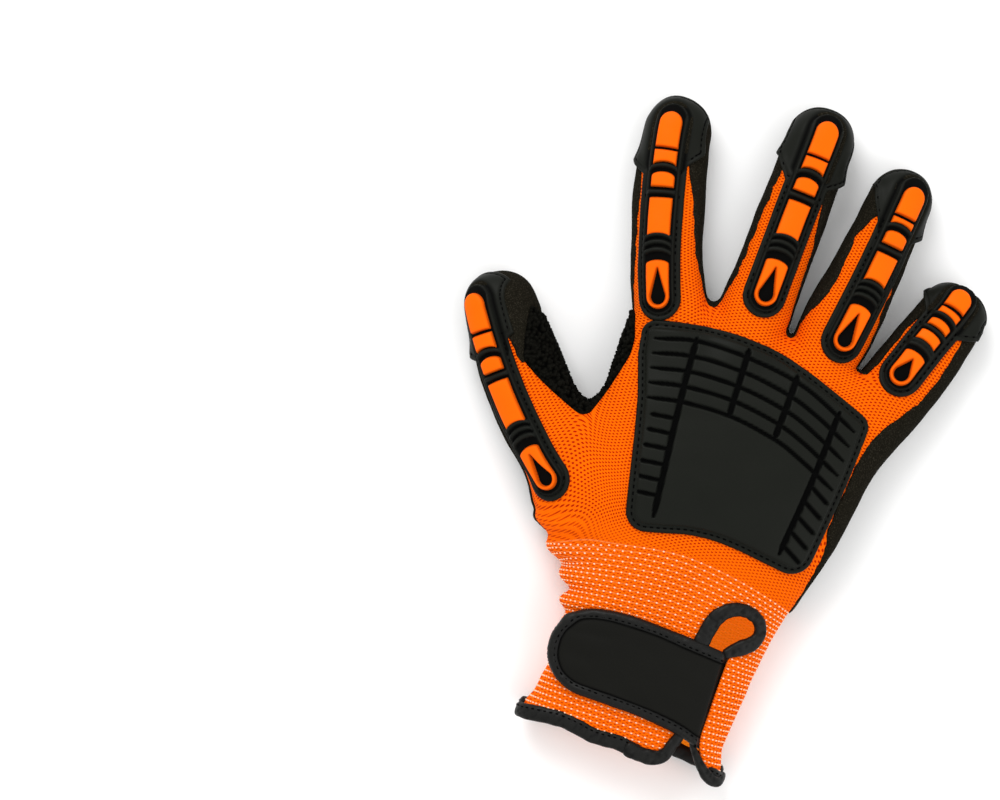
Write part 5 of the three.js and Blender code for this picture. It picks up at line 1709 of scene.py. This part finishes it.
@dataclass
class CuffStitches:
    """The white elastic stitches knitted into the cuff, in rows round it."""

    row_gap: float = 2.22
    per_turn: int = 88
    length: float = 0.9
    radius: float = 0.38
    first: float = -49.5
    rows: int = 35
    dip: float = 9.0
    fade: float = 20.0

    def droop(self, x: Array) -> Array:
        """How far the first row dips at each x: dip * |(x + 4) / 46|^1.7."""
        return self.dip * np.abs((x + 4.0) / 46.0) ** 1.7

    def line(self, x: Array, row: Array) -> Array:
        """A row's y at each x: first - gap * row, less the dip, which fades over the first rows."""
        return self.first - self.row_gap * row - self.droop(x) * np.clip(1.0 - row / self.fade, 0.0, 1.0)

    def row(self, x: Array, y: Array) -> Array:
        """The row number at a plan place, the inverse of line."""
        droop = self.droop(x)
        over = self.first - droop - y
        near = over / (self.row_gap - np.where(over > 0, droop, 0.0) / self.fade)
        return np.where(near < self.fade, near, (self.first - y) / self.row_gap)

    def build(self, form: GloveForm) -> Piece:
        """Sets stitches along every row, on both sides of the cuff.

        Rays from the cuff's middle find their places on the surface, once to learn each one's x and
        once more at the row's y there.
        """
        turns = np.linspace(0.0, 1.0, self.per_turn, endpoint=False)
        row, turn = np.meshgrid(np.arange(self.rows), turns, indexing="ij")
        turn = (turn + 0.5 * (row % 2) / self.per_turn) * 2 * math.pi
        y = self.line(-4.0 + 42.0 * np.sin(turn), row)
        headings = unit(np.stack([np.sin(turn) * 0.9, 0 * turn, np.cos(turn)], -1))
        for _ in range(2):
            middle = (form.left(y) + form.right(y)) / 2
            half = (form.right(y) - form.left(y)) / 2
            starts = np.stack([middle + 0.72 * half * np.sin(turn), y, np.full(y.shape, 12.0)], -1)
            spots = form.cast(starts, headings, 45.0)
            y = self.line(spots[..., 0], row)
        spots = spots.reshape(-1, 3)
        normals = unit(form.slope(spots))
        ahead = unit(np.cross(np.array([0.0, 1.0, 0.0]), normals))
        ahead = unit(ahead + 0.1 * Ripples(31, 7.0)(spots)[:, None] * np.array([0.0, 1.0, 0.0]))
        x, y, z = spots.T
        slit = depth_inside(x, y, slit_outline())
        upper = z > 12.0
        hem = np.where(upper, Column(HEM_TOP, 1.6)(x), Column(HEM_LOW, 3.0)(x)) + 3.2
        coat = np.where(upper, 99.0, Column(COAT_HEM, 4.0)(x) - y - 2.0)
        clear = (x < Column(COAT_ULNAR, 3.0)(y) - 1.0) | (y < -60.0)
        keep = (y > hem) & (~upper | (slit < -0.6)) & (coat > 0) & clear
        spots = spots + edge_lift(spots)[:, None] * UP
        points, faces = stitches(spots[keep], ahead[keep], normals[keep], self.length, self.radius,
                                 DOT_RINGS, 5)
        return make_piece("cuff_stitches", points, faces, THREAD_FINISH, Slot.KNIT)


CUFF = CuffStitches()
PAINTBOX = Paintbox()


@dataclass
class EdgeTapes:
    """The folded tapes: round the keyhole, along the hem and on the free end of the slit's right side."""

    half_height: float = 1.75
    hem_half_width: float = 3.1
    hem_half_height: float = 1.7
    pinch: float = 0.05
    fold: float = 0.15
    clearance: float = 0.1
    step: float = 0.55
    sides: int = 22
    keyhole_line: Rows = (
        (-2, -126.6, 3), (3, -127.2, 3), (8.4, -127, 2.9), (12, -124.8, 2.5),
        (13.8, -120, 2.2), (15.4, -115, 2.2), (14.6, -103, 2.6), (12.4, -92, 2.9),
        (12.6, -82.5, 3.1), (13.6, -75, 3.2), (15.7, -68.2, 3.1), (20.2, -63.8, 2.8), (26, -62.6, 2.6),
        (31.4, -64.8, 2.35), (33.4, -69.4, 2.45), (31.9, -73.6, 2.95), (28.4, -76.6, 3.1),
        (25.4, -78.8, 2.6), (23.4, -80.4, 2),
    )
    flap_line: Rows = (
        (20.4, -114.6, 1), (21.4, -118, 1.15), (24, -121.8, 1.4), (27.2, -125.4, 1.9),
        (31, -128.6, 2.3), (34.4, -129.3, 2.1), (36, -127, 1.7),
    )

    def keyhole(self, form: GloveForm) -> Piece:
        """A tube on the upper surface round the keyhole, with its path and half width from its line."""
        line = curve(self.keyhole_line, self.step)
        share = np.arange(len(line)) / len(line)
        lift = np.interp(share, (0.0, 0.12, 0.3, 0.9, 1.0), (0.2, 0.3, 0.4, 0.55, 0.3))
        points, faces, masks = self.laid_tube(form, line, lift, 51)
        return make_piece("keyhole_edge", points, faces, TAPE_FINISH, Slot.TAPE, ["keyhole_tape"],
                          masks=masks)

    def creased(self, points: Array, seed: int) -> tuple[Array, dict[str, Array]]:
        """The points moved up and down by fine folds, fold * noise, and painted shade by how deep in a fold
        each one lies.
        """
        noise = Ripples(seed, 2.4)(points)
        moved = points + self.fold * noise[:, None] * UP
        return moved, {"painted_shade": 0.7 * eased(-noise / 0.8)}

    def laid_tube(self, form: GloveForm, line: Array, lift: Array,
                  seed: int) -> tuple[Array, Array, dict[str, Array]]:
        """A flat tube that lies on the upper surface along a plan line with its half width in column 3.

        Its section is pinched by creases: the sizes are scaled by 1 + pinch * noise along the line.
        """
        path = form.top(line[:, 0], line[:, 1])
        normals = unit(form.slope(path))
        path = path + normals * lift[:, None]
        ahead = unit(np.gradient(path, axis=0))
        normals = unit(normals - (normals * ahead).sum(1, keepdims=True) * ahead)
        side = np.cross(ahead, normals)
        crease = 1.0 + self.pinch * Ripples(seed, 3.6)(path)
        wide, high = line[:, 2] * crease, self.half_height * crease
        points, faces = tube(path, wide, high, side, normals, self.sides, 2.5)
        points, masks = self.creased(points, seed + 1)
        return points, faces, masks

    def hem(self, form: GloveForm) -> list[Piece]:
        """A folded tube along the hem, from the slit's left edge round the palm side, and its seam.

        Rays from the cuff's middle find the wall at each turn; the tube's middle is half the knit
        inside it, and y follows the hem's line on the side it is on.
        """
        turn = np.radians(np.linspace(12.0, -296.0, 420))
        x = -6.0 + 36.0 * np.sin(turn)
        upper = np.cos(turn) > 0
        y = np.where(upper, Column(HEM_TOP, 1.6)(x * 1.1), Column(HEM_LOW, 3.0)(x * 1.1))
        kernel = np.hanning(17) / np.hanning(17).sum()
        y = np.convolve(np.pad(y, 8, mode="edge"), kernel, mode="valid")
        starts = np.stack([x * 0.45 - 3.0, y, np.full(x.shape, 11.5)], -1)
        headings = unit(np.stack([np.sin(turn) * 1.6, 0 * turn, np.cos(turn)], -1))
        wall = form.cast(starts, headings, 60.0)
        path = even(wall, 0.6)
        normals = unit(form.slope(path))
        normals[:, 1] = 0.0
        normals = unit(normals)
        path = path - normals * 0.7 + np.array([0.0, 0.6, 0.0])
        ahead = unit(np.gradient(path, axis=0))
        side = unit(np.cross(ahead, normals))
        crease = 1.0 + self.pinch * Ripples(61, 4.6)(path)
        wide, high = self.hem_half_width * crease, self.hem_half_height * crease
        points, faces = tube(path, wide, high, side, normals, self.sides, 2.6)
        points, masks = self.creased(points, 62)
        points[:, 2] = np.maximum(points[:, 2], self.clearance)
        made = [make_piece("hem_edge", points, faces, TAPE_FINISH, Slot.TAPE, ["hem_tape"], masks=masks)]
        inward = side * np.sign(side[:, 1:2])
        spots = path + (inward * 1.5 + normals * 1.55) * crease[:, None]
        points, faces = stitches(spots[::4], ahead[::4], normals[::4], 1.5, SEAM_RADIUS)
        points[:, 2] = np.maximum(points[:, 2], self.clearance)
        return [*made, make_piece("hem_seam", points, faces, DARK_THREAD_FINISH, Slot.TAPE)]

    def flap(self, form: GloveForm) -> Piece:
        """The twisted tape from under the strap to the hem's right end."""
        line = curve(self.flap_line, self.step)
        lift = np.interp(np.linspace(0.0, 1.0, len(line)), (0.0, 0.25, 0.5, 1.0), (-0.2, 0.5, 1.0, 0.4))
        points, faces, masks = self.laid_tube(form, line, lift, 71)
        return make_piece("flap_edge", points, faces, TAPE_FINISH, Slot.TAPE, ["flap_tape"], masks=masks)


@dataclass
class Strap:
    """The closing strap: a smooth face inside a folded tape border, ending under the slit's right edge."""

    lift: float = 1.6
    face: float = 0.7
    rim: float = 1.9
    rim_width: float = 4.3
    seam_inset: float = 3.1
    seam_gap: float = 2.5
    tuck: float = 3.0
    end: float = 25.8
    step: float = 0.5
    squeeze: float = 0.86
    corners: Rows = (
        (-24.9, -77.4, 4), (-31.3, -78.7, 3), (-36.4, -81.2, 2.8), (-40.2, -85.2, 2.8),
        (-42.5, -92.2, 3.5), (-42.2, -100.3, 3.5), (-38.9, -106.4, 3), (-34.4, -110, 2.8),
        (-28.7, -112.1, 3), (-20, -112.2, 5), (0, -113.3, 6), (14, -115.4, 5),
        (25, -119.2, 0.6), (26, -100, 2), (26.6, -80.6, 0.6), (12, -79, 6),
        (-5, -77.5, 5), (-16, -76.9, 3),
    )

    def build(self, form: GloveForm) -> list[Piece]:
        """Makes the face, its border and the border's seam.

        The border is a rounded bank: rim * shoulder(depth) * shoulder(width - depth). Near the right
        end the whole strap dips under the slit's edge by a smooth step.
        """
        outline = rounded(self.corners)
        chart = plan_chart(form, (-46.0, -122.0), (28.0, -74.0), self.step, self.squeeze)
        x, y = chart.across, chart.along
        depth = depth_inside(x, y, outline)
        dip = self.tuck * eased((x - 21.4) / 3.0)
        seated = self.lift - dip
        sides = np.where(x > 16.0, self.side_depth(x, y), depth)
        inner = sides - self.rim_width + 0.6
        open_end = self.end - x
        fold = 0.5 * np.exp(-(((x + 33.0) / 4.0) ** 2)) + 0.12 * Ripples(81, 18.0)(chart.points)
        face_height = seated + self.face * shoulder(inner + 1.0, 0.6) + fold * eased(inner / 3.0) * 0.5
        # Painted shade: the face is darkened along its inner edge beside the border, as a shadow line.
        beside = 0.95 * eased((1.25 - inner) / 0.7)
        points, faces, masks = chart.relief(np.minimum(inner, open_end), face_height, -(seated - 0.4), beside)
        face = make_piece("strap_face", points, faces, FACE_FINISH, Slot.STRAP, ["strap"], masks=masks)
        bank = np.minimum(shoulder(sides, 1.9), shoulder(self.rim_width - sides, 1.3))
        crease = 1.0 + 0.07 * Ripples(83, 5.0)(chart.points) + 0.04 * Ripples(84, 2.0)(chart.points)
        groove = np.exp(-(((sides - self.seam_inset) / 0.3) ** 2))
        rim_height = seated - 0.5 + self.rim * bank * crease - 0.4 * groove
        rim_depth = np.min([sides, self.rim_width - sides, open_end], axis=0)
        # Painted shade in the border's seam groove and along its inner edge.
        rim_painted_shade = np.maximum(0.35 * groove, 0.9 * eased((0.8 - self.rim_width + sides) / 0.7))
        points, faces, masks = chart.relief(rim_depth, rim_height, -(seated - 1.0), rim_painted_shade)
        border = make_piece("strap_border", points, faces, TAPE_FINISH, Slot.TAPE, ["strap_tape"],
                            masks=masks)
        line = shrunk(outline, self.seam_inset)
        line = line[line[:, 0] < 22.0]
        first = int(np.argmax(np.linalg.norm(line - np.roll(line, 1, 0), axis=1)))
        line = even(np.roll(line, -first, 0), self.seam_gap)
        seam = surface_seam(form, line, self.lift + 0.98, 1.6, 0.33, self.squeeze)
        return [face, border, make_piece("strap_seam", *seam, DARK_THREAD_FINISH, Slot.TAPE)]

    def side_depth(self, x: Array, y: Array) -> Array:
        """How deep places lie inside the strap's upper and lower sides, as if it ran on to the right."""
        top = np.interp(x, (12.0, 26.6, 40.0), (-79.0, -80.6, -82.0))
        low = np.interp(x, (0.0, 14.0, 25.0, 40.0), (-113.2, -115.4, -119.2, -124.0))
        return np.minimum(top - y, y - low) * 0.97


# Stage


@dataclass
class Studio:
    """The pale floor, the soft light and a camera straight above, rolled as in the photograph."""

    distance: float = 1.7
    width: float = 0.39
    roll: float = 17.0
    aim: tuple[float, float] = (-0.0727, -0.0134)
    sensor: float = 36.0
    floor_half: float = 3.0
    daylight: float = 0.93
    key_power: float = 14.0
    fill_power: float = 6.0

    def build(self) -> None:
        """Makes the floor, the lights, the world and the camera."""
        scene = bpy.context.scene
        mesh = bpy.data.meshes.new("floor")
        side = self.floor_half
        corners = [(-side, -side, 0), (side, -side, 0), (side, side, 0), (-side, side, 0)]
        mesh.from_pydata(corners, [], [(0, 1, 2, 3)])
        floor = bpy.data.objects.new("floor", mesh)
        scene.collection.objects.link(floor)
        pale = bpy.data.materials.new("pale floor")
        pale.use_nodes = True
        surface = pale.node_tree.nodes["Principled BSDF"]
        surface.inputs["Base Color"].default_value = (0.96, 0.96, 0.955, 1.0)
        surface.inputs["Roughness"].default_value = 0.9
        mesh.materials.append(pale)
        world = bpy.data.worlds.new("studio")
        world.use_nodes = True
        world.node_tree.nodes["Background"].inputs[0].default_value = (1.0, 1.0, 1.0, 1.0)
        world.node_tree.nodes["Background"].inputs[1].default_value = self.daylight
        scene.world = world
        scene.view_settings.view_transform = "Standard"
        self.lamp("key", (-0.75, 0.95, 1.15), 0.9, self.key_power)
        self.lamp("fill", (1.0, -0.5, 1.1), 1.2, self.fill_power)
        lens = bpy.data.cameras.new("camera")
        lens.sensor_width = self.sensor
        lens.lens = self.sensor * self.distance / self.width
        lens.clip_end = 20.0
        camera = bpy.data.objects.new("camera", lens)
        camera.location = (*self.aim, self.distance)
        camera.rotation_euler = (0.0, 0.0, math.radians(self.roll))
        scene.collection.objects.link(camera)
        scene.camera = camera

    def lamp(self, name: str, place: tuple[float, float, float], size: float, power: float) -> None:
        """A square soft light that faces the glove."""
        light = bpy.data.lights.new(name, "AREA")
        light.size = size
        light.energy = power
        lamp = bpy.data.objects.new(name, light)
        lamp.location = place
        away = np.array(place)
        lamp.rotation_euler = (math.acos(away[2] / np.linalg.norm(away)), 0.0, math.atan2(away[0], -away[1]))
        bpy.context.scene.collection.objects.link(lamp)


def main() -> None:
    """Builds the glove's pieces in order."""
    logging.basicConfig(level=logging.INFO, format="%(name)s: %(message)s")
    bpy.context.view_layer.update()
    Studio().build()
    form = GloveForm()
    skin = Skin(form, KNIT_STEP)
    KnitLiner(skin).build()
    PalmCoating(skin).build()
    CrotchPatch().build(form)
    for name in FINGERS:
        FingerGuard(name).build(form)
    BackGuard().build(form)
    CUFF.build(form)
    tapes = EdgeTapes()
    tapes.keyhole(form)
    tapes.hem(form)
    tapes.flap(form)
    Strap().build(form)


if __name__ == "__main__":
    main()
